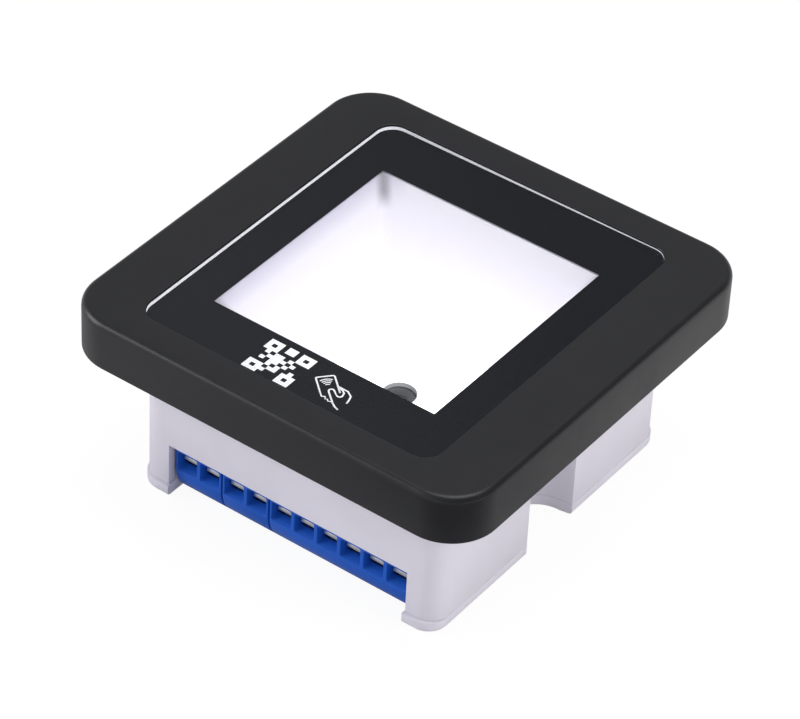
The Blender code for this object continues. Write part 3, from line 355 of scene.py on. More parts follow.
def settle(piece):
    """Apply the piece's modifiers, so that its mesh is the finished shape."""
    old, piece.data = piece.data, finished_mesh(piece)
    piece.modifiers.clear()
    bpy.data.meshes.remove(old)


def carve(piece, bm, operation="DIFFERENCE"):
    """Take the shape in bm out of the piece, or join it on."""
    tool = place(bpy.data.objects.new("tool", mesh_of(bm, "tool")))
    change = piece.modifiers.new("change", "BOOLEAN")
    change.operation = operation
    change.solver = "EXACT"
    change.object = tool
    settle(piece)
    old = tool.data
    bpy.data.objects.remove(tool, do_unlink=True)
    bpy.data.meshes.remove(old)


def soften(piece, width=0.0, steps=2, sharp=38):
    """Break the sharp edges with a small round, as a mould leaves them, and shade it smooth."""
    if width:
        bevel = piece.modifiers.new("edges", "BEVEL")
        bevel.width = width
        bevel.segments = steps
        bevel.limit_method = "ANGLE"
        bevel.angle_limit = math.radians(40)
        bevel.use_clamp_overlap = True
        settle(piece)
    piece.data.shade_smooth()
    piece.data.set_sharp_from_angle(angle=math.radians(sharp))


pale_abs = moulded("pale_abs", PALE_ABS, 0.46, 0.35 * MM, 0.012 * MM)

bm = bmesh.new()
bridge(bm, [box_outline(bm, COVER_EDGE_RADIUS * (1 - math.sin(math.radians(angle))), 0.0,
                        COVER_EDGE_RADIUS * (1 - math.cos(math.radians(angle))), COVER_PROUD)
            for angle in (0, 22.5, 45, 67.5, 90)]
       + [box_outline(bm, 0.0, 0.0, COVER_JOINT, COVER_PROUD)])
cover = make(bm, "cover_plate", pale_abs, "white_abs", "rear_cover")

lip_inset = HOUSING_WALL + SEAM
lip_width = 1.2 * MM
bm = bmesh.new()
bridge(bm, [box_outline(bm, inset, CHANNEL_WALL + inset - HOUSING_WALL, z)
            for inset, z in ((lip_inset, COVER_JOINT - SEAM), (lip_inset, LIP_TOP),
                             (lip_inset + lip_width, LIP_TOP),
                             (lip_inset + lip_width, COVER_JOINT - SEAM))], closed=True)
carve(cover, bm, "UNION")

row_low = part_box("terminal_block_1")[0]
row_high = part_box("terminal_block_3")[1]
cover_screws = [middle(f"cover_screw_{number}") for number in range(1, 5)]
housing_low, housing_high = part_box("rear_housing")
bm = bmesh.new()
block(bm, (row_low.x - SEAM, housing_low.y - MM, -MM),
      (row_high.x + SEAM, row_high.y + SEAM, LIP_TOP + MM))
for spot in cover_screws:
    drum(bm, spot.x, spot.y, -MM, LIP_TOP + MM, SCREW_HOLE_RADIUS)
carve(cover, bm)
bm = bmesh.new()
for spot in cover_screws:
    drum(bm, spot.x, spot.y, -MM, SCREW_SEAT_DEPTH, SCREW_SEAT_RADIUS)
for turn in range(7):
    ring = 0 if turn == 0 else GRILLE_RING
    drum(bm, GRILLE_PLACE[0] + ring * math.cos(math.tau * turn / 6),
         GRILLE_PLACE[1] + ring * math.sin(math.tau * turn / 6),
         -MM, LIP_TOP + MM, GRILLE_HOLE, 20)
carve(cover, bm)
soften(cover, 0.12 * MM)


# Rear housing: the pale ABS box wall that drops into the wall box. It has rounded corners, a
# round channel in each X side for the wall box's screw, corner posts for the screws, and an
# opening in its front wall where the terminals look out.

POST_RADIUS = 2.6 * MM
PILOT_RADIUS = 1.3 * MM
OPENING_SIDE = 26.0 * MM
OPENING_TOP = 11.2 * MM

joint = COVER_JOINT + 0.06 * MM
bm = bmesh.new()
bridge(bm, [box_outline(bm, inset, wall, z)
            for inset, wall, z in ((0, 0, joint), (0, 0, housing_high.z),
                                   (HOUSING_WALL, CHANNEL_WALL, housing_high.z),
                                   (HOUSING_WALL, CHANNEL_WALL, joint))], closed=True)
housing = make(bm, "housing_shell", pale_abs, "white_abs", "rear_housing")
bm = bmesh.new()
for spot in cover_screws:
    drum(bm, spot.x, spot.y, housing_low.z, housing_high.z - SEAM, POST_RADIUS)
carve(housing, bm, "UNION")
bm = bmesh.new()
for spot in cover_screws:
    drum(bm, spot.x, spot.y, housing_low.z - MM, housing_high.z + MM, PILOT_RADIUS)
carve(housing, bm)
bm = bmesh.new()
block(bm, (-OPENING_SIDE, housing_low.y - MM, housing_low.z - MM),
      (OPENING_SIDE, housing_low.y + HOUSING_WALL + MM, OPENING_TOP))
carve(housing, bm)
soften(housing, 0.15 * MM)


# Cover screws: four self-tapping steel screws, nickel plated, with a cross recess in the head.
# They are sunk in the cover's holes and bite into the housing's corner posts.

SCREW_HEAD_RADIUS = 2.0 * MM
SCREW_HEAD_HEIGHT = 1.3 * MM
SCREW_SHANK_RADIUS = 1.0 * MM
SCREW_LENGTH = 6.1 * MM
CROSS_REACH = 1.15 * MM
CROSS_WIDTH = 0.55 * MM
CROSS_DEPTH = 0.7 * MM


def plated(name, colour, roughness, streak, stretch=(1, 1, 1), depth=0.004 * MM):
    """Bare or plated metal: drawn or turned streaks and duller patches."""
    recipe = new_material(name)
    streaks = recipe.noise(streak, 3.0, stretch)
    patches = recipe.noise(2.5 * MM, 3.0)
    base = recipe.tint(recipe.between(patches, 0.35, 0.75), colour, shade(colour, 0.82))
    return recipe.surface({
        "Base Color": base,
        "Metallic": 1.0,
        "Roughness": recipe.vary(streaks, roughness - 0.07, roughness + 0.08),
        "Normal": recipe.bump(streaks, depth)})


def turned(bm, profile, steps=ROUND_STEPS):
    """A profile of (radius, z) points turned about Z into a closed solid."""
    tip = bm.verts.new((profile[0][0], 0, profile[0][1]))
    drawn = [tip]
    for radius, z in profile[1:]:
        tip = bmesh.ops.extrude_vert_indiv(bm, verts=[tip])["verts"][0]
        tip.co = (radius, 0, z)
        drawn.append(tip)
    edges = list({edge for vertex in drawn for edge in vertex.link_edges})
    bmesh.ops.spin(bm, geom=drawn + edges, cent=(0, 0, 0), axis=(0, 0, 1), angle=math.tau,
                   steps=steps, use_merge=True)
    bmesh.ops.remove_doubles(bm, verts=bm.verts, dist=1e-7)


nickel = plated("nickel_plate", (0.64, 0.62, 0.58), 0.30, 0.6 * MM)

for number, spot in enumerate(cover_screws, 1):
    bm = bmesh.new()
    seat = SCREW_HEAD_HEIGHT
    turned(bm, [(0, SCREW_LENGTH + seat), (0.3 * SCREW_SHANK_RADIUS, SCREW_LENGTH + seat),
                (SCREW_SHANK_RADIUS, SCREW_LENGTH + seat - 2 * MM), (SCREW_SHANK_RADIUS, seat),
                (SCREW_HEAD_RADIUS, seat), (SCREW_HEAD_RADIUS, 0.55 * MM),
                (0.92 * SCREW_HEAD_RADIUS, 0.28 * MM), (0.72 * SCREW_HEAD_RADIUS, 0.10 * MM),
                (0.45 * SCREW_HEAD_RADIUS, 0.02 * MM), (0, 0)])
    bmesh.ops.translate(bm, verts=bm.verts, vec=(spot.x, spot.y, 0))
    screw = make(bm, f"cover_fastener_{number}", nickel, "screw_nickel",
                 f"cover_screw_{number}")
    for reach_x, reach_y in ((CROSS_REACH, CROSS_WIDTH / 2), (CROSS_WIDTH / 2, CROSS_REACH)):
        bm = bmesh.new()
        block(bm, (spot.x - reach_x, spot.y - reach_y, -MM),
              (spot.x + reach_x, spot.y + reach_y, CROSS_DEPTH))
        carve(screw, bm)
    soften(screw, 0.04 * MM, 1)


# Screw terminals: three blue PBT modules of two, two and six ways. Each way has a flared wire
# entry with a sloping sill, and the front curves back towards the rear cover.

WAY_PITCH = 5.0 * MM
CURVE_START = 5.0 * MM
CURVE_INSET = 2.1 * MM
MOUTH_HALF = 2.15 * MM
THROAT_HALF = 2.05 * MM
SILL_Z = 5.2 * MM
THROAT_SILL_Z = 6.2 * MM
ENTRY_TOP_Z = 9.4 * MM
THROAT_TOP_Z = 9.3 * MM
ENTRY_DEPTH = 1.8 * MM
ENTRY_CORNER = 0.35 * MM
ROOM_Z = 3.9 * MM
ROOM_REAR = 0.7 * MM
WELL_RADIUS = 2.2 * MM
WELL_TOP = 2.9 * MM
SHANK_ROOM = 1.4 * MM
TERMINAL_BLUE = (0.014, 0.105, 0.520)

terminal_blue = moulded("terminal_blue", TERMINAL_BLUE, 0.36, 0.5 * MM, 0.006 * MM,
                        {"Specular IOR Level": 0.2})


def rounded(bm, half_x, half_y, radius, z, centre=(0, 0), steps=CORNER_STEPS):
    """The edges of a rounded rectangle at height z."""
    matrix = Matrix.Translation((*centre, z)) @ Matrix.Diagonal((half_x, half_y, 1, 1))
    sheet = bmesh.ops.create_grid(bm, x_segments=1, y_segments=1, size=1, matrix=matrix)
    corners = sheet["verts"]
    done = bmesh.ops.bevel(bm, geom=corners, offset=radius, segments=steps, profile=0.5,
                           affect="VERTICES", material=-1, clamp_overlap=False)
    face = next(f for f in bm.faces if all(v in f.verts for v in done["verts"]))
    edges = list(face.edges)
    bmesh.ops.delete(bm, geom=[face], context="FACES_ONLY")
    return edges


def loft(bm, stations, closed=False, steps=CORNER_STEPS):
    """Walls through rounded rectangles, each given as half sizes, corner, height and centre."""
    bridge(bm, [rounded(bm, *station, steps=steps) for station in stations], closed)


SIDEWAYS = Matrix(((0, 0, 1, 0), (1, 0, 0, 0), (0, 1, 0, 0), (0, 0, 0, 1)))
INTO_FRONT = Matrix(((1, 0, 0, 0), (0, 0, 1, 0), (0, 1, 0, 0), (0, 0, 0, 1)))
way_centres = []
screw_y = middle("clamp_screw_01").y
radius = (CURVE_START ** 2 + CURVE_INSET ** 2) / (2 * CURVE_INSET)
sweep = math.degrees(math.asin(CURVE_START / radius))
mouth_rise = (ENTRY_TOP_Z - SILL_Z) / 2
throat_rise = (THROAT_TOP_Z - THROAT_SILL_Z) / 2

for number, ways in ((1, 2), (2, 2), (3, 6)):
    low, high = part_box(f"terminal_block_{number}")
    centres = [low.x + (way + 0.5) * WAY_PITCH for way in range(ways)]
    way_centres += centres
    bm = bmesh.new()
    outlines = []
    for x in (low.x, high.x):
        pen = Pen(bm, high.y, low.z, x)
        pen.line(high.y, high.z)
        pen.line(low.y, high.z)
        pen.line(low.y, low.z + CURVE_START)
        pen.turn(low.y + radius, low.z + CURVE_START, sweep, CORNER_STEPS)
        outlines.append(pen.close())
    bridge(bm, outlines)
    bmesh.ops.transform(bm, matrix=SIDEWAYS, verts=bm.verts)
    module = make(bm, f"terminal_module_{number}", terminal_blue, "terminal_blue",
                  f"terminal_block_{number}")
    entries, rooms, wells = bmesh.new(), bmesh.new(), bmesh.new()
    for x in centres:
        loft(entries, [
            (MOUTH_HALF, mouth_rise, ENTRY_CORNER, low.y - 0.2 * MM, (x, SILL_Z + mouth_rise)),
            (THROAT_HALF, throat_rise, ENTRY_CORNER, low.y + ENTRY_DEPTH + SEAM,
             (x, THROAT_SILL_Z + throat_rise))], steps=4)
        block(rooms, (x - THROAT_HALF, low.y + ENTRY_DEPTH, ROOM_Z),
              (x + THROAT_HALF, high.y - ROOM_REAR, THROAT_TOP_Z))
        drum(wells, x, screw_y, low.z - MM, WELL_TOP, WELL_RADIUS)
        drum(wells, x, screw_y, WELL_TOP - SEAM, ROOM_Z + SEAM, SHANK_ROOM)
    bmesh.ops.transform(entries, matrix=INTO_FRONT, verts=entries.verts)
    for tool in (entries, rooms, wells):
        carve(module, tool)
    soften(module, 0.10 * MM)


# Contacts and clamp screws: in each way a tinned strip, bent into a U with a lip at its mouth,
# and a slotted screw, nickel plated, that faces the back and presses the wire on the strip.

STRIP = 0.8 * MM
STRIP_HALF = 1.65 * MM
STRIP_LOW = 4.2 * MM
STRIP_HIGH = 8.3 * MM
STRIP_FRONT = 1.2 * MM
STRIP_LOWER_FRONT = 2.1 * MM
STRIP_BEND = 0.9 * MM
STRIP_LIP_BEND = 0.45 * MM
STRIP_LIP_LOW = 7.15 * MM
CLAMP_HEAD_Z = 0.9 * MM
CLAMP_SHOULDER_Z = 2.6 * MM
CLAMP_HEAD_RADIUS = 1.9 * MM
CLAMP_SHANK_RADIUS = 1.1 * MM
CLAMP_TIP_Z = 6.4 * MM
CLAMP_SLOT_HALF = 0.3 * MM
CLAMP_SLOT_DEPTH = 0.8 * MM

tin = plated("tin_plate", (0.93, 0.92, 0.90), 0.42, 0.5 * MM, (1, 6, 1))

for number, x in enumerate(way_centres, 1):
    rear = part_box(f"terminal_contact_{number:02d}")[1].y - STRIP / 2
    bm = bmesh.new()
    pen = Pen(bm, row_low.y + STRIP_LOWER_FRONT, STRIP_LOW + STRIP / 2, -STRIP_HALF)
    pen.line(rear - STRIP_BEND, STRIP_LOW + STRIP / 2)
    pen.turn(rear - STRIP_BEND, STRIP_LOW + STRIP / 2 + STRIP_BEND, 90, 6)
    pen.line(rear, STRIP_HIGH - STRIP / 2 - STRIP_BEND)
    pen.turn(rear - STRIP_BEND, STRIP_HIGH - STRIP / 2 - STRIP_BEND, 90, 6)
    lip = row_low.y + STRIP_FRONT + STRIP / 2
    pen.line(lip + STRIP_LIP_BEND, STRIP_HIGH - STRIP / 2)
    pen.turn(lip + STRIP_LIP_BEND, STRIP_HIGH - STRIP / 2 - STRIP_LIP_BEND, 90, 4)
    pen.line(lip, STRIP_LIP_LOW)
    grown = bmesh.ops.extrude_edge_only(bm, edges=pen.edges)["geom"]
    bmesh.ops.translate(bm, verts=[v for v in grown if isinstance(v, bmesh.types.BMVert)],
                        vec=(0, 0, 2 * STRIP_HALF))
    bmesh.ops.transform(bm, matrix=Matrix.Translation((x, 0, 0)) @ SIDEWAYS, verts=bm.verts)
    contact = make(bm, f"clamp_strip_{number:02d}", tin, "tin_plate",
                   f"terminal_contact_{number:02d}")
    wall = contact.modifiers.new("strip", "SOLIDIFY")
    wall.thickness = STRIP
    wall.offset = 0
    settle(contact)
    soften(contact, 0.12 * MM)

    bm = bmesh.new()
    turned(bm, [(0, CLAMP_TIP_Z), (CLAMP_SHANK_RADIUS - 0.35 * MM, CLAMP_TIP_Z),
                (CLAMP_SHANK_RADIUS, CLAMP_TIP_Z - 0.35 * MM),
                (CLAMP_SHANK_RADIUS, CLAMP_SHOULDER_Z), (CLAMP_HEAD_RADIUS, CLAMP_SHOULDER_Z),
                (CLAMP_HEAD_RADIUS, CLAMP_HEAD_Z + 0.35 * MM),
                (CLAMP_HEAD_RADIUS - 0.1 * MM, CLAMP_HEAD_Z + 0.12 * MM),
                (CLAMP_HEAD_RADIUS - 0.35 * MM, CLAMP_HEAD_Z), (0, CLAMP_HEAD_Z)])
    bmesh.ops.translate(bm, verts=bm.verts, vec=(x, screw_y, 0))
    screw = make(bm, f"clamp_fastener_{number:02d}", nickel, "screw_nickel",
                 f"clamp_screw_{number:02d}")
    bm = bmesh.new()
    block(bm, (x - 3 * MM, screw_y - CLAMP_SLOT_HALF, CLAMP_HEAD_Z - MM),
          (x + 3 * MM, screw_y + CLAMP_SLOT_HALF, CLAMP_HEAD_Z + CLAMP_SLOT_DEPTH))
    carve(screw, bm)
    soften(screw, 0.04 * MM, 1)


# Main board: green fibreglass laminate with copper tracks under the lacquer and tinned pads. It
# carries the terminals, the lights, the camera and, towards the cover, the larger components.

def board_finish(name, lacquer, track, pitch):
    """Circuit board: lacquer over square-cornered copper tracks, with small tinned pads."""
    recipe = new_material(name)
    spot = recipe.coordinates()
    x, y = recipe.axis(spot, 0), recipe.axis(spot, 1)
    region = recipe.cells(9 * MM, (1, 1, 0), 1, "CHEBYCHEV")
    turned_here = recipe.node("SeparateColor", {}, {0: region}) > 0.5
    lines_x = abs((x / pitch).fraction() - 0.5) < 0.2
    lines_y = abs((y / pitch).fraction() - 0.5) < 0.2
    tracks = lines_x * turned_here + lines_y * (1 - turned_here)
    pads = recipe.cells(3.4 * MM, (1, 1, 0)) < 0.11
    weave = recipe.noise(0.9 * MM, 2.0)
    base = recipe.tint(tracks * 0.8, recipe.tint(weave, shade(lacquer, 0.85),
                                                 shade(lacquer, 1.15)), track)
    return recipe.surface({
        "Base Color": recipe.tint(pads, base, (0.66, 0.65, 0.60)),
        "Metallic": pads * 0.9,
        "Roughness": recipe.between(pads, 0, 1, 0.32, 0.40),
        "Normal": recipe.bump(tracks, 0.03 * MM, 0.6)})


def dress(finish, *names):
    """Give CAD nodes whose shape is right their finish."""
    for name in names:
        nodes[name].material_slots[0].material = finish


dress(board_finish("green_board", (0.012, 0.105, 0.045), (0.03, 0.21, 0.07), 1.3 * MM),
      "main_board")
dress(moulded("chip_resin", (0.018, 0.018, 0.020), 0.55, 0.2 * MM, 0.01 * MM),
      "processor_chip", "memory_chip", "buzzer")
dress(moulded("ferrite", (0.075, 0.075, 0.080), 0.75, 0.12 * MM, 0.03 * MM), "power_inductor")
dress(plated("can_aluminium", (0.74, 0.75, 0.77), 0.30, 1.2 * MM, (1, 1, 0.1)),
      "bulk_capacitor")
dress(nickel, "board_screw_1", "board_screw_2")


# Light box: a flared white reflector of moulded PBT with smooth walls, an opal sheet in its
# foot, and under that six light-emitting diodes in two rows beside the camera.

REFLECTOR_WALL = 0.9 * MM
FLOOR_HALF, FLOOR_Z = 13.0 * MM, 16.2 * MM
NECK_HALF, NECK_Z = 20.7 * MM, 30.1 * MM
WINDOW_HALF, WINDOW_Z = 24.2 * MM, 37.1 * MM
FOOT_HALF, FOOT_CORNER, FOOT_Z = 14.3 * MM, 2.4 * MM, 13.0 * MM
SEAT_HALF, SEAT_CORNER, SEAT_Z = 12.8 * MM, 1.2 * MM, 15.1 * MM
BOX_CORNER = 3.0 * MM
WALL_CORNER = 1.2 * MM
SHEET_CORNER = 0.9 * MM
HOLE_RADIUS = 3.05 * MM
WALL_STATIONS = 14
LIT_WHITE = (0.80, 0.785, 0.84)


def flare(z):
    """Half width of the light box's inside at height z: a slightly bowed wall."""
    share = (z - FLOOR_Z) / (WINDOW_Z - FLOOR_Z)
    straight = FLOOR_HALF + (WINDOW_HALF - FLOOR_HALF) * share
    neck_share = (NECK_Z - FLOOR_Z) / (WINDOW_Z - FLOOR_Z)
    bow = NECK_HALF - (FLOOR_HALF + (WINDOW_HALF - FLOOR_HALF) * neck_share)
    return straight + bow * share * (1 - share) / (neck_share * (1 - neck_share))


recipe = new_material("lit_reflector")
spot = recipe.coordinates()
x, y, height = (recipe.axis(spot, index) for index in range(3))
depth_below = recipe.between(height, WINDOW_Z, FLOOR_Z)
# Painted shade: the walls are darker where they meet in the corners, towards the top.
painted_corner_shade = (recipe.between(abs(abs(x) - abs(y)), 0.0, 2.6 * MM, 1.0, 0.0, smooth=True)
             * recipe.between(height, 31.5 * MM, 35 * MM, smooth=True))
# Painted shade: the left wall is darker just under the edge of the print.
painted_shade_under_print = (recipe.between(height, 33.5 * MM, 37 * MM)
               * recipe.between(x, -23 * MM, -18 * MM, 0.85, 0.0))
clouds = recipe.noise(9 * MM, 2.0)
# Painted glow: an emission, dim at the window and bright at the foot, for the box's light.
painted_glow = recipe.node("ValToRGB", {"stops": [(0.0, (0.42, 0.40, 0.47)), (0.30, (0.74, 0.72, 0.80)),
                                          (0.62, (1.0, 0.98, 1.0))]},
                   {0: depth_below + (clouds - 0.5) * 0.08})
reflector_white = recipe.surface({
    "Base Color": recipe.tint(painted_corner_shade, recipe.tint(painted_shade_under_print, LIT_WHITE,
                                                     (0.56, 0.55, 0.68)),
                              (0.36, 0.35, 0.40)),
    "Roughness": recipe.vary(clouds, 0.30, 0.38),
    "Emission Color": recipe.tint(painted_corner_shade, painted_glow, (0.1, 0.1, 0.1)),
    "Emission Strength": 0.28,
    "Normal": recipe.bump(recipe.noise(0.4 * MM), 0.004 * MM)})

bm = bmesh.new()
heights = [FLOOR_Z + (WINDOW_Z - FLOOR_Z) * i / WALL_STATIONS for i in range(WALL_STATIONS + 1)]
inside = [(flare(z), WALL_CORNER * flare(z) / WINDOW_HALF, z) for z in reversed(heights)]
outside = [(half + REFLECTOR_WALL, radius + REFLECTOR_WALL, z)
           for half, radius, z in reversed(inside)]
stations = ([(FOOT_HALF, FOOT_CORNER, FOOT_Z), (FOOT_HALF, FOOT_CORNER, FLOOR_Z + SEAM)]
            + outside[1:] + inside
            + [(SEAT_HALF, SEAT_CORNER, FLOOR_Z), (SEAT_HALF, SEAT_CORNER, SEAT_Z),
               (SEAT_HALF - MM, SEAT_CORNER, SEAT_Z), (SEAT_HALF - MM, SEAT_CORNER, FOOT_Z)])
loft(bm, [(half, half, radius, z) for half, radius, z in stations], closed=True)
reflector = make(bm, "light_box", reflector_white, "reflector_white", "light_reflector")
soften(reflector)

recipe = new_material("opal_sheet")
camera_low, camera_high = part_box("camera_barrel")
camera_spot = (middle("camera_barrel").x - 0.1 * MM, middle("camera_barrel").y - 0.4 * MM, 0)
spot = recipe.coordinates((1, 1, 0), camera_spot)
# Painted shade and light at the hole's cut edge: dark grey with a dim painted glow, lighter
# towards -X and dark towards +X.
sawn = recipe.between(recipe.length(spot), HOLE_RADIUS + 0.05 * MM, HOLE_RADIUS + 0.3 * MM)
shadow_side = recipe.between(recipe.axis(spot, 0), -1.5 * MM, 2.6 * MM)
opal = recipe.surface({
    "Base Color": recipe.tint(sawn, (0.30, 0.30, 0.31),
                              recipe.tint(recipe.noise(5 * MM), (0.90, 0.90, 0.93),
                                          (0.93, 0.93, 0.95))),
    "Roughness": recipe.vary(recipe.noise(1.5 * MM), 0.42, 0.52),
    "Emission Color": recipe.tint(sawn, recipe.tint(shadow_side, (0.17, 0.17, 0.18),
                                                    (0.01, 0.01, 0.012)), (1.0, 1.0, 1.0)),
    "Emission Strength": 1.05})
diffuser_low, diffuser_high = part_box("diffuser")
bm = bmesh.new()
loft(bm, [(diffuser_high.x, diffuser_high.x, SHEET_CORNER, z)
          for z in (diffuser_low.z, diffuser_high.z)])
diffuser = make(bm, "opal_diffuser", opal, "diffuser_opal", "diffuser")
bm = bmesh.new()
drum(bm, *camera_spot[:2], diffuser_low.z - MM, diffuser_high.z + MM, HOLE_RADIUS, 48)
carve(diffuser, bm)
soften(diffuser)

recipe = new_material("led_package")
phosphor = recipe.noise(0.5 * MM, 3.0)
dress(recipe.surface({
    "Base Color": recipe.tint(phosphor, (0.88, 0.82, 0.42), (0.93, 0.88, 0.58)),
    "Roughness": recipe.vary(phosphor, 0.3, 0.45),
    "Emission Color": recipe.tint(phosphor, (1.0, 0.97, 0.86), (1.0, 1.0, 0.95)),
    "Emission Strength": 2.0}), *[f"led_{number}" for number in range(1, 7)])


# Camera: a black turned barrel, screwed into a square holder on the board. Its front, with the
# coated glass in the middle, shows through the round hole of the opal sheet.

BARREL_RADIUS = 3.0 * MM
BARREL_BORE = 1.45 * MM
GLASS_RADIUS = 1.4 * MM
TURNED_STEPS = 64

camera_black = moulded("camera_black", (0.035, 0.035, 0.040), 0.38, 0.2 * MM, 0.008 * MM)
dress(camera_black, "camera_holder")

recipe = new_material("barrel_face")
radius = recipe.length(recipe.coordinates((1, 1, 0), camera_spot))
ring_lines = (radius / (0.16 * MM)).fraction()
barrel_face = recipe.surface({
    "Base Color": recipe.tint(recipe.between(radius, 1.6 * MM, 2.8 * MM, smooth=True),
                              (0.072, 0.074, 0.085), (0.090, 0.090, 0.098)),
    "Roughness": recipe.between(ring_lines, 0, 1, 0.45, 0.6),
    "Specular IOR Level": 0.2,
    "Normal": recipe.bump(ring_lines, 0.02 * MM, 0.3)})
top = camera_high.z
bm = bmesh.new()
turned(bm, [(0, top - 1.1 * MM), (BARREL_BORE, top - 1.1 * MM), (BARREL_BORE, top - 0.5 * MM),
            (2.1 * MM, top - 0.12 * MM), (2.4 * MM, top - 0.02 * MM), (2.62 * MM, top),
            (2.9 * MM, top - 0.05 * MM), (BARREL_RADIUS, top - 0.15 * MM),
            (BARREL_RADIUS, camera_low.z), (0, camera_low.z)], TURNED_STEPS)
bmesh.ops.translate(bm, verts=bm.verts, vec=camera_spot)
barrel = make(bm, "lens_barrel", barrel_face, "camera_black", "camera_barrel")
soften(barrel, sharp=30)

recipe = new_material("front_glass")
radius = recipe.length(recipe.coordinates((1, 1, 0), camera_spot))
pupil = recipe.between(radius, 0.45 * MM, 0.75 * MM, smooth=True)
glass = recipe.surface({
    "Base Color": recipe.tint(pupil, (0.075, 0.085, 0.11), (0.095, 0.105, 0.135)),
    "Roughness": recipe.vary(recipe.noise(0.6 * MM), 0.08, 0.14),
    "Specular IOR Level": 0.3,
    "Coat Weight": recipe.between(radius, 0.2 * MM, 1.3 * MM, 0.5, 0.3),
    "Coat Roughness": 0.05})
glass_low, glass_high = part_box("camera_lens")
bm = bmesh.new()
turned(bm, [(0, glass_high.z), (0.35 * MM, glass_high.z - 0.012 * MM),
            (0.7 * MM, glass_high.z - 0.06 * MM), (1.05 * MM, glass_high.z - 0.16 * MM),
            (GLASS_RADIUS, glass_high.z - 0.38 * MM), (GLASS_RADIUS, glass_low.z),
            (0, glass_low.z)], TURNED_STEPS)
bmesh.ops.translate(bm, verts=bm.verts, vec=camera_spot)
front_glass = make(bm, "camera_front_glass", glass, "camera_glass", "camera_lens")
soften(front_glass)


# Mounting plate and card antenna: zinc-plated sheet steel that is screwed to the wall box, with
# the antenna's black board on it, its flat cable down to the main board and four black screws.

PLATE_CORNER = 7.2 * MM
OPENING_X, OPENING_Y = 23.1 * MM, 29.0 * MM
HOOK_X, HOOK_Y = 35.65 * MM, 18.23 * MM
HOOK_HALF = 5.0 * MM
SLOT_WIDTH, SLOT_LENGTH = 4.2 * MM, 9.0 * MM

recipe = new_material("zinc_steel")
crystal = recipe.node("SeparateColor", {}, {0: recipe.cells(2.6 * MM, output=1)})
rolled = recipe.noise(0.8 * MM, 3.0, (1, 0.12, 1))
zinc = recipe.surface({
    "Base Color": recipe.tint(crystal, (0.52, 0.53, 0.55), (0.64, 0.65, 0.67)),
    "Metallic": 1.0,
    "Roughness": recipe.between(rolled + crystal * 0.4, 0.3, 1.1, 0.28, 0.44),
    "Normal": recipe.bump(rolled, 0.004 * MM)})

plate_low, plate_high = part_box("mounting_plate")
bm = bmesh.new()
loft(bm, [(plate_high.x, plate_high.y, PLATE_CORNER, plate_low.z),
          (plate_high.x, plate_high.y, PLATE_CORNER, plate_high.z),
          (OPENING_X, OPENING_Y, BOX_CORNER, plate_high.z),
          (OPENING_X, OPENING_Y, BOX_CORNER, plate_low.z)], closed=True)
plate = make(bm, "steel_plate", zinc, "zinc_steel", "mounting_plate")
bm = bmesh.new()
for side in (-1, 1):
    loft(bm, [(SLOT_WIDTH / 2, SLOT_LENGTH / 2, 0.4999 * SLOT_WIDTH, z, (side * CHANNEL_X, 0))
              for z in (plate_low.z - MM, plate_high.z + MM)])
    for y in (-HOOK_Y, HOOK_Y):
        block(bm, (side * HOOK_X - MM, y - HOOK_HALF - SEAM, plate_low.z - MM),
              (side * HOOK_X + MM, y + HOOK_HALF + SEAM, plate_high.z + MM))
for spot in cover_screws:
    drum(bm, spot.x, spot.y, plate_low.z - MM, plate_high.z + MM, SCREW_HOLE_RADIUS)
carve(plate, bm)
soften(plate, 0.12 * MM)

recipe = new_material("antenna_laminate")
spot = recipe.coordinates()
x, y = abs(recipe.axis(spot, 0)), abs(recipe.axis(spot, 1))
ring = x.larger(y - 2.5 * MM)
turns = (abs((ring / (1.1 * MM)).fraction() - 0.5) < 0.3) * (ring > 25.2 * MM)
antenna_black = recipe.surface({
    "Base Color": recipe.tint(turns, (0.016, 0.016, 0.019), (0.045, 0.043, 0.040)),
    "Roughness": recipe.vary(recipe.noise(1.5 * MM), 0.30, 0.42),
    "Normal": recipe.bump(turns, 0.03 * MM, 0.7)})
dress(antenna_black, "antenna_board")

recipe = new_material("flat_cable")
cores = abs((recipe.axis(recipe.coordinates(), 0) / (1.0 * MM)).fraction() - 0.5)
dress(recipe.surface({
    "Base Color": recipe.tint(cores > 0.42, (0.76, 0.76, 0.73), (0.55, 0.55, 0.54)),
    "Roughness": recipe.between(cores, 0, 0.5, 0.42, 0.55),
    "Normal": recipe.bump(cores, 0.15 * MM, 0.5)}), "antenna_cable")
dress(moulded("connector_nylon", (0.63, 0.58, 0.45), 0.5, 0.3 * MM, 0.01 * MM),
      "antenna_connector")
dress(plated("black_screws", (0.06, 0.06, 0.065), 0.38, 0.5 * MM),
      *[f"plate_screw_{number}" for number in range(1, 5)])
dress(moulded("foam_tape", (0.020, 0.020, 0.021), 0.92, 0.18 * MM, 0.05 * MM), "lens_tape")


# Bezel frame: black ABS, injection moulded with a satin skin. Its rim is rounded, the lens lies
# in a pocket just below the face, and four hooks inside snap through the steel plate.

FACE_HALF = 43.0 * MM
FACE_CORNER = 9.4 * MM
RIM_RADIUS = 1.3 * MM
FOOT_ROUND = 0.3 * MM
POCKET_X, POCKET_Y, POCKET_CORNER = 31.1 * MM, 35.95 * MM, 3.8 * MM
POCKET_CENTRE = (-0.2 * MM, -0.25 * MM)
POCKET_ROUND = 0.15 * MM
LEDGE_TOP, LEDGE_BOTTOM, LEDGE_HALF = 36.3 * MM, 34.7 * MM, 25.7 * MM
POCKET_WALL = 2.0 * MM
SKIRT_WALL = 2.2 * MM
FACE_WALL = 2.2 * MM
HOOK_INNER, HOOK_OUTER = 34.95 * MM, 36.35 * MM
NOSE_REACH, NOSE_TIP = 34.15 * MM, 35.25 * MM
BLACK_ABS = (0.0142, 0.0145, 0.0165)

bezel_low, bezel_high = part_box("bezel_frame")
seat_z = plate_low.z
face_z = bezel_high.z

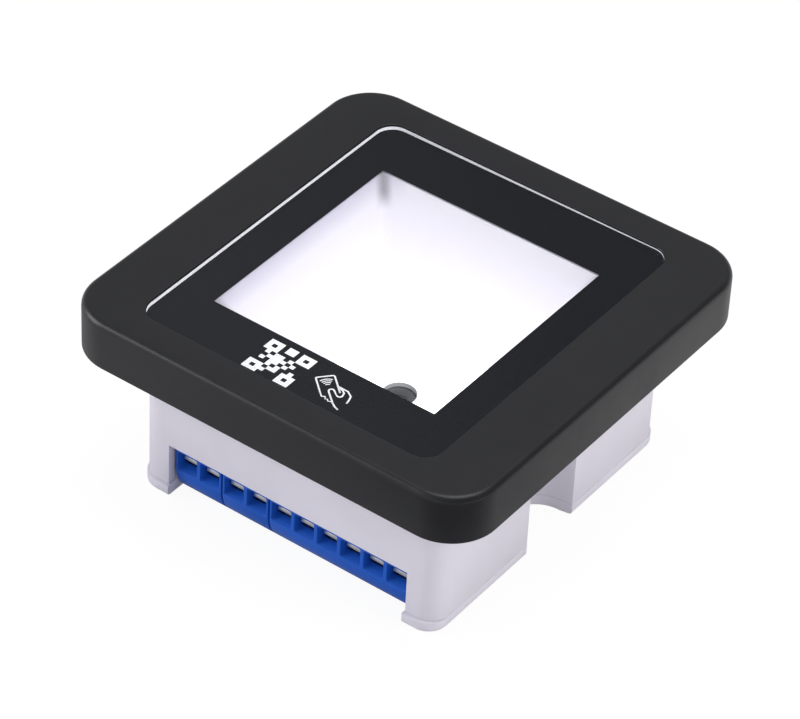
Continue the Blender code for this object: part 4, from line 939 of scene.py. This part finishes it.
recipe = new_material("black_abs")
clouds = recipe.noise(16 * MM, 3.0)
skin = recipe.noise(0.28 * MM, 2.0)
handling = recipe.noise(5 * MM, 5.0)
dust = recipe.cells(4.5 * MM) < 0.022
black_abs = recipe.surface({
    "Base Color": recipe.tint(dust * 0.25, recipe.tint(clouds, shade(BLACK_ABS, 0.94),
                                                       shade(BLACK_ABS, 1.07)),
                              (0.20, 0.20, 0.20)),
    "Roughness": recipe.vary(handling, 0.30, 0.38),
    "Normal": recipe.bump(skin, 0.010 * MM)})


def quarter(radius, steps):
    """Offsets (inwards, upwards) along a quarter round, from its side to its top."""
    for i in range(steps + 1):
        angle = math.pi / 2 * i / steps
        yield radius * (1 - math.cos(angle)), radius * math.sin(angle)


stations = [(FACE_HALF - inwards, FACE_HALF - inwards, FACE_CORNER - inwards,
             seat_z + FOOT_ROUND - up) for inwards, up in quarter(FOOT_ROUND, 3)][::-1]
stations += [(FACE_HALF - inwards, FACE_HALF - inwards, FACE_CORNER - inwards,
              face_z - RIM_RADIUS + up) for inwards, up in quarter(RIM_RADIUS, 8)]
stations += [(POCKET_X + inwards, POCKET_Y + inwards, POCKET_CORNER + inwards,
              face_z - POCKET_ROUND + up, POCKET_CENTRE)
             for inwards, up in list(quarter(POCKET_ROUND, 3))[::-1]]
wall = (POCKET_X + POCKET_WALL, POCKET_Y + POCKET_WALL, POCKET_CORNER + POCKET_WALL)
skirt = (FACE_HALF - SKIRT_WALL, FACE_HALF - SKIRT_WALL, FACE_CORNER - SKIRT_WALL)
stations += [(POCKET_X, POCKET_Y, POCKET_CORNER, LEDGE_TOP, POCKET_CENTRE),
             (LEDGE_HALF, LEDGE_HALF, BOX_CORNER, LEDGE_TOP),
             (LEDGE_HALF, LEDGE_HALF, BOX_CORNER, LEDGE_BOTTOM),
             (*wall, LEDGE_BOTTOM), (*wall, face_z - FACE_WALL),
             (*skirt, face_z - FACE_WALL), (*skirt, seat_z)]
bm = bmesh.new()
loft(bm, stations, closed=True, steps=16)
bezel = make(bm, "bezel", black_abs, "black_abs", "bezel_frame")
bm = bmesh.new()
noses = bmesh.new()
for side in (-1, 1):
    for y in (-HOOK_Y, HOOK_Y):
        near, far = sorted((side * HOOK_INNER, side * HOOK_OUTER))
        block(bm, (near, y - HOOK_HALF, bezel_low.z),
              (far, y + HOOK_HALF, face_z - FACE_WALL + SEAM))
        near, far = sorted((side * NOSE_REACH, side * HOOK_X))
        nose = block(noses, (near, y - HOOK_HALF, bezel_low.z),
                     (far, y + HOOK_HALF, seat_z - SEAM))
        for vertex in nose:
            if vertex.co.z < seat_z - MM and abs(vertex.co.x) < NOSE_TIP:
                vertex.co.x = side * NOSE_TIP
carve(bezel, bm, "UNION")
carve(bezel, noses, "UNION")
soften(bezel, sharp=34)


# Front lens: a clear acrylic plate with polished edges, its border printed from behind with
# white signs and then black. The window in the print shows the light box.

LENS_X, LENS_Y = 31.05 * MM, 35.9 * MM
LENS_CORNER = 3.7 * MM
LENS_CHAMFER = 0.05 * MM
INK = 0.02 * MM
INK_CENTRE = (-0.50 * MM, 0.11 * MM)
INK_WINDOW = (23.6 * MM, 24.25 * MM)
INK_WINDOW_CORNER = 0.12 * MM
lens_low, lens_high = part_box("front_lens")
lens_top = lens_high.z


def lens_outline(inset, z):
    return LENS_X - inset, LENS_Y - inset, LENS_CORNER - inset, z, POCKET_CENTRE


recipe = new_material("clear_acrylic")
smears = recipe.noise(11 * MM, 4.0)
clear_acrylic = recipe.surface({
    "Base Color": recipe.tint(smears, (0.985, 0.99, 0.995), (1.0, 1.0, 1.0)),
    "Roughness": recipe.between(smears, 0.45, 0.75, 0.0, 0.02),
    "IOR": 1.49,
    "Specular Tint": (0.1, 0.1, 0.1),
    "Transmission Weight": 1.0})
bm = bmesh.new()
loft(bm, [lens_outline(0, lens_low.z), lens_outline(0, lens_top - LENS_CHAMFER),
          lens_outline(LENS_CHAMFER, lens_top)])
lens = make(bm, "acrylic_front", clear_acrylic, "clear_acrylic", "front_lens")
soften(lens, sharp=30)

# Light from the box travels in the acrylic and leaves it at the sawn edge, seen from inside.
# The lit band is deeper along the left side.
EDGE_LOW, EDGE_HIGH = lens_top - 1.05 * MM, lens_top - 0.25 * MM
EDGE_THINNER, EDGE_DEEPER = 0.45 * MM, 0.5 * MM

# Painted glow: the edge's emission stands for light leaving the acrylic, brighter along the left
# side.
recipe = new_material("sawn_edge")
sawn = recipe.noise(1.5 * MM, 3.0)
left_side = recipe.between(recipe.axis(recipe.coordinates(), 0), -30 * MM, -27 * MM)
sawn_edge = recipe.surface({
    "Base Color": recipe.tint(sawn, (0.55, 0.55, 0.58), (0.65, 0.65, 0.68)),
    "Roughness": recipe.vary(sawn, 0.6, 0.75),
    "Emission Color": recipe.tint(left_side, recipe.tint(sawn, (0.45, 0.45, 0.50),
                                                         (0.74, 0.74, 0.80)),
                                  (0.40, 0.40, 0.43)),
    "Emission Strength": 1.0,
    "Specular IOR Level": 0.0})
bm = bmesh.new()
loft(bm, [lens_outline(INK, EDGE_LOW), lens_outline(INK, EDGE_HIGH),
          lens_outline(2 * INK, EDGE_HIGH), lens_outline(2 * INK, EDGE_LOW)], closed=True)
for vertex in bm.verts:
    if vertex.co.z < EDGE_HIGH - 0.25 * MM:
        vertex.co.z += EDGE_THINNER if vertex.co.x > LENS_CORNER - LENS_X else -EDGE_DEEPER
edge = make(bm, "lens_edge", sawn_edge, "clear_acrylic")
soften(edge)

recipe = new_material("black_ink")
flow = recipe.noise(6 * MM, 3.0)
across = recipe.along(recipe.coordinates(), (0.55, 0.83, 0))
# Painted light and reflection: the print's dim emission stands for lamp light and the lens's
# gloss, brighter towards -X and -Y.
painted_sheen = recipe.between(across + (flow - 0.5) * (6 * MM), -34 * MM, 26 * MM)
black_ink = recipe.surface({
    "Base Color": recipe.tint(flow, (0.0030, 0.0033, 0.0040), (0.0042, 0.0045, 0.0055)),
    "Roughness": recipe.vary(flow, 0.55, 0.65),
    "Emission Color": recipe.tint(painted_sheen, (0.0200, 0.0205, 0.0242), (0.0098, 0.0110, 0.0145)),
    "Emission Strength": 1.0,
    "Specular IOR Level": 0.0})
bm = bmesh.new()
ink_top = lens_low.z + INK
loft(bm, [(LENS_X - INK, LENS_Y - INK, LENS_CORNER, ink_top - 3 * INK, POCKET_CENTRE),
          (LENS_X - INK, LENS_Y - INK, LENS_CORNER, ink_top, POCKET_CENTRE),
          (*INK_WINDOW, INK_WINDOW_CORNER, ink_top, INK_CENTRE),
          (*INK_WINDOW, INK_WINDOW_CORNER, ink_top - 3 * INK, INK_CENTRE)], closed=True)
ink = make(bm, "black_print", black_ink, "black_abs")
soften(ink)


# Signs: a code square, and a hand with a card. Both are thin white ink on the back of the clear
# front, printed before the black, and show through it without any words.

CODE_MODULE = (0.965 * MM, 0.885 * MM)
CODE_CENTRE = (-5.12 * MM, -30.12 * MM)
CODE_ROWS = ("###.##.###",
             "#.#.##.#.#",
             "###....###",
             ".#.##.#...",
             "..####.#..",
             ".#.##.#...",
             "...#.#..#.",
             "###.##.###",
             "#.##...#.#",
             "###....###")
CARD_CENTRE = (4.99 * MM, -29.69 * MM)
CARD_TURN = math.radians(-41)
STROKE = 0.165 * MM
FINE_STROKE = 0.115 * MM

# Painted light: the white ink carries a faint emission that keeps the signs bright under the clear
# front.
recipe = new_material("white_ink")
flow = recipe.noise(1.2 * MM, 3.0)
white_ink = recipe.surface({
    "Base Color": recipe.tint(flow, (0.84, 0.84, 0.86), (0.90, 0.90, 0.92)),
    "Roughness": recipe.vary(flow, 0.5, 0.6),
    "Emission Color": recipe.tint(flow, (0.93, 0.93, 0.96), (1.0, 1.0, 1.0)),
    "Emission Strength": 0.30,
    "Specular IOR Level": 0.0})

sign_top = ink_top + INK
bm = bmesh.new()
for row, cells in enumerate(CODE_ROWS):
    for column, cell in enumerate(cells):
        if cell == "#":
            x = CODE_CENTRE[0] + (column - 5) * CODE_MODULE[0]
            y = CODE_CENTRE[1] - (row - 4) * CODE_MODULE[1]
            block(bm, (x, y, sign_top - INK),
                  (x + CODE_MODULE[0], y + CODE_MODULE[1], sign_top))
make(bm, "code_sign", white_ink, "reflector_white")


def stroke(name, points, width=STROKE):
    """A printed line along points in millimetres about the card sign's centre, as a flat mesh."""
    curve = bpy.data.curves.new(name, "CURVE")
    curve.dimensions = "3D"
    curve.bevel_depth = width
    curve.bevel_resolution = 2
    curve.use_fill_caps = True
    spline = curve.splines.new("POLY")
    spline.points.add(len(points) - 1)
    for point, (x, y) in zip(spline.points, points):
        point.co = (x * MM, y * MM, 0, 1)
    holder = place(bpy.data.objects.new(name, curve))
    mesh = finished_mesh(holder)
    bpy.data.objects.remove(holder, do_unlink=True)
    bm = bmesh.new()
    bm.from_mesh(mesh)
    bpy.data.meshes.remove(mesh)
    bmesh.ops.remove_doubles(bm, verts=bm.verts, dist=1e-8)
    bmesh.ops.scale(bm, vec=(1, 1, 0.5 * INK / width), verts=bm.verts)
    bmesh.ops.rotate(bm, cent=(0, 0, 0), matrix=Matrix.Rotation(CARD_TURN, 3, "Z"),
                     verts=bm.verts)
    bmesh.ops.translate(bm, vec=(*CARD_CENTRE, sign_top - INK / 2), verts=bm.verts)
    make(bm, name, white_ink, "reflector_white")


def arc_points(x, y, radius, start, end, steps=8):
    return [(x + radius * math.cos(math.radians(start + (end - start) * i / steps)),
             y + radius * math.sin(math.radians(start + (end - start) * i / steps)))
            for i in range(steps + 1)]


stroke("card_sign_card", [(2.1, 1.62)] + arc_points(-2.3, 1.32, 0.3, 90, 180, 4)
       + arc_points(-2.3, -1.35, 0.3, 180, 270, 4) + [(2.35, -1.65), (2.6, -1.0)])
for number in range(1, 5):
    stroke(f"card_sign_wave_{number}", arc_points(0.28, 0.0, 0.3 + 0.46 * number, 149, 211),
           width=FINE_STROKE)
stroke("card_sign_thumb", [(4.5, -0.15), (1.5, -0.2)] + arc_points(1.3, 0.3, 0.48, 250, 90, 6)
       + [(2.7, 0.9)] + arc_points(2.6, 1.45, 0.52, -80, 50, 5) + [(2.3, 2.25), (1.6, 2.2),
                                                                (0.5, 1.66)])
stroke("card_sign_palm", [(0.45, 1.75), (1.95, 3.0), (3.3, 3.2), (4.2, 2.7), (4.95, 2.1)])
stroke("card_sign_fingers", [(2.6, -1.0), (3.15, -1.2), (3.3, -0.8), (3.8, -0.85), (4.1, -0.2)],
       width=FINE_STROKE)
stroke("card_sign_wrist", [(4.45, -0.15), (5.45, 0.0), (6.3, 0.35)])


# Studio: a pale table under a white backdrop, three soft lamps, and the camera at the picture's
# angle. Table and sky look darker in reflections, so that the black bezel keeps its depth: seen
# in reflections only, the table carries painted shade near the reader and towards the camera.

WHITE = (1.0, 1.0, 1.0)
BLACK = (0.0, 0.0, 0.0)
TABLE_SIZE = 6.0
CAMERA_PLACE = (0.319881, -0.460580, 0.485306)
CAMERA_TURN = (50.44875, -2.30243, 36.79028)
CAMERA_LENS = 186.284
SENSOR_WIDTH = 36.0


def rays(recipe):
    """Masks that are 1 for the camera's own, mirrored and passed-on rays."""
    return [recipe.node("LightPath", output=number) for number in (0, 3, 6)]


recipe = new_material("pale_table")
camera_ray, glossy_ray, transmission_ray = rays(recipe)
seen = camera_ray.larger(glossy_ray).larger(transmission_ray)
spot = recipe.coordinates((1, 1, 0))
distance = recipe.length(spot)
ahead = recipe.along(spot, (0.71, -0.71, 0))
aside = recipe.along(spot, (0.71, 0.71, 0))
# Painted shade, seen only in reflections: darker near the reader and towards the camera, lighter
# to the sides.
painted_reflection_shade = (recipe.between(distance, 0.12, 0.6, 0.27, 0.9)
          + recipe.between(aside, 0.03, 0.10, 0.0, 0.31)
          + recipe.between(aside, -0.06, -0.11, 0.0, 0.22)
          - recipe.between(ahead, 0.055, 0.095, 0.0, 0.34)).larger(0.0)
matte = recipe.node("BsdfDiffuse", {}, {"Color": (0.80, 0.80, 0.81)})
bright = recipe.node("Emission", {}, {"Strength": 1.03, "Color": recipe.tint(
    glossy_ray, WHITE, recipe.tint(painted_reflection_shade, BLACK, WHITE))})
mixed = recipe.node("MixShader", {}, {0: recipe.between(seen, 0, 1, 0.0, 0.9), 1: matte,
                                      2: bright})
recipe.node("OutputMaterial", {}, {"Surface": mixed})
bm = bmesh.new()
bmesh.ops.create_grid(bm, x_segments=1, y_segments=1, size=TABLE_SIZE / 2,
                      matrix=Matrix.Translation((0, 0, cad_box[0][2] - 0.02 * MM)))
table = place(bpy.data.objects.new("table", mesh_of(bm, "table")))
table.data.materials.append(recipe.owner)

world = bpy.data.worlds.new("studio")
bpy.context.scene.world = world
recipe = Recipe(world)
camera_ray, glossy_ray, transmission_ray = rays(recipe)
direction = recipe.node("TexCoord", output=0)
height = recipe.axis(direction, 2)
away = recipe.along(direction, (-0.57, 0.82, 0))
left = recipe.along(direction, (-0.57, -0.82, 0))
ceiling = (recipe.between(height, 0.0, 0.2, 0.12, 0.03, smooth=True)
           + recipe.between(away, 0.2, 0.7, 0.0, 0.25, smooth=True)
           + recipe.between(left, 0.3, 0.8, 0.0, 0.33, smooth=True))
ambient = recipe.node("Background", {}, {"Color": (0.94, 0.94, 1.0), "Strength": 0.62})
reflected = recipe.node("Background", {}, {"Color": recipe.tint(ceiling, BLACK, WHITE)})
backdrop = recipe.node("Background", {}, {"Color": WHITE})
surround = recipe.node("MixShader", {}, {0: glossy_ray, 1: ambient, 2: reflected})
surround = recipe.node("MixShader", {}, {0: camera_ray.larger(transmission_ray), 1: surround,
                                         2: backdrop})
recipe.node("OutputWorld", {}, {"Surface": surround})

for name, spot, size, power, colour in (
        ("key", (0.80, 0.20, 0.50), 0.55, 3.6, (1.0, 0.99, 0.97)),
        ("fill", (-0.70, -0.45, 0.42), 0.55, 3.8, (0.97, 0.97, 1.0)),
        ("top", (0.05, 0.10, 0.95), 0.60, 3.0, (1.0, 1.0, 1.0))):
    lamp = bpy.data.lights.new(name, "AREA")
    lamp.energy = power
    lamp.size = size
    lamp.color = colour
    light = place(bpy.data.objects.new(name, lamp))
    light.location = spot
    light.visible_glossy = name != "key"
    aim = Vector((0, 0, 0.02)) - Vector(spot)
    light.rotation_euler = aim.to_track_quat("-Z", "Y").to_euler()

camera = place(bpy.data.objects.new("camera", bpy.data.cameras.new("camera")))
camera.location = CAMERA_PLACE
camera.rotation_euler = [math.radians(angle) for angle in CAMERA_TURN]
camera.data.lens = CAMERA_LENS
camera.data.sensor_width = SENSOR_WIDTH
camera.data.clip_start = 0.01
bpy.context.scene.camera = camera
bpy.context.scene.view_settings.view_transform = "Standard"
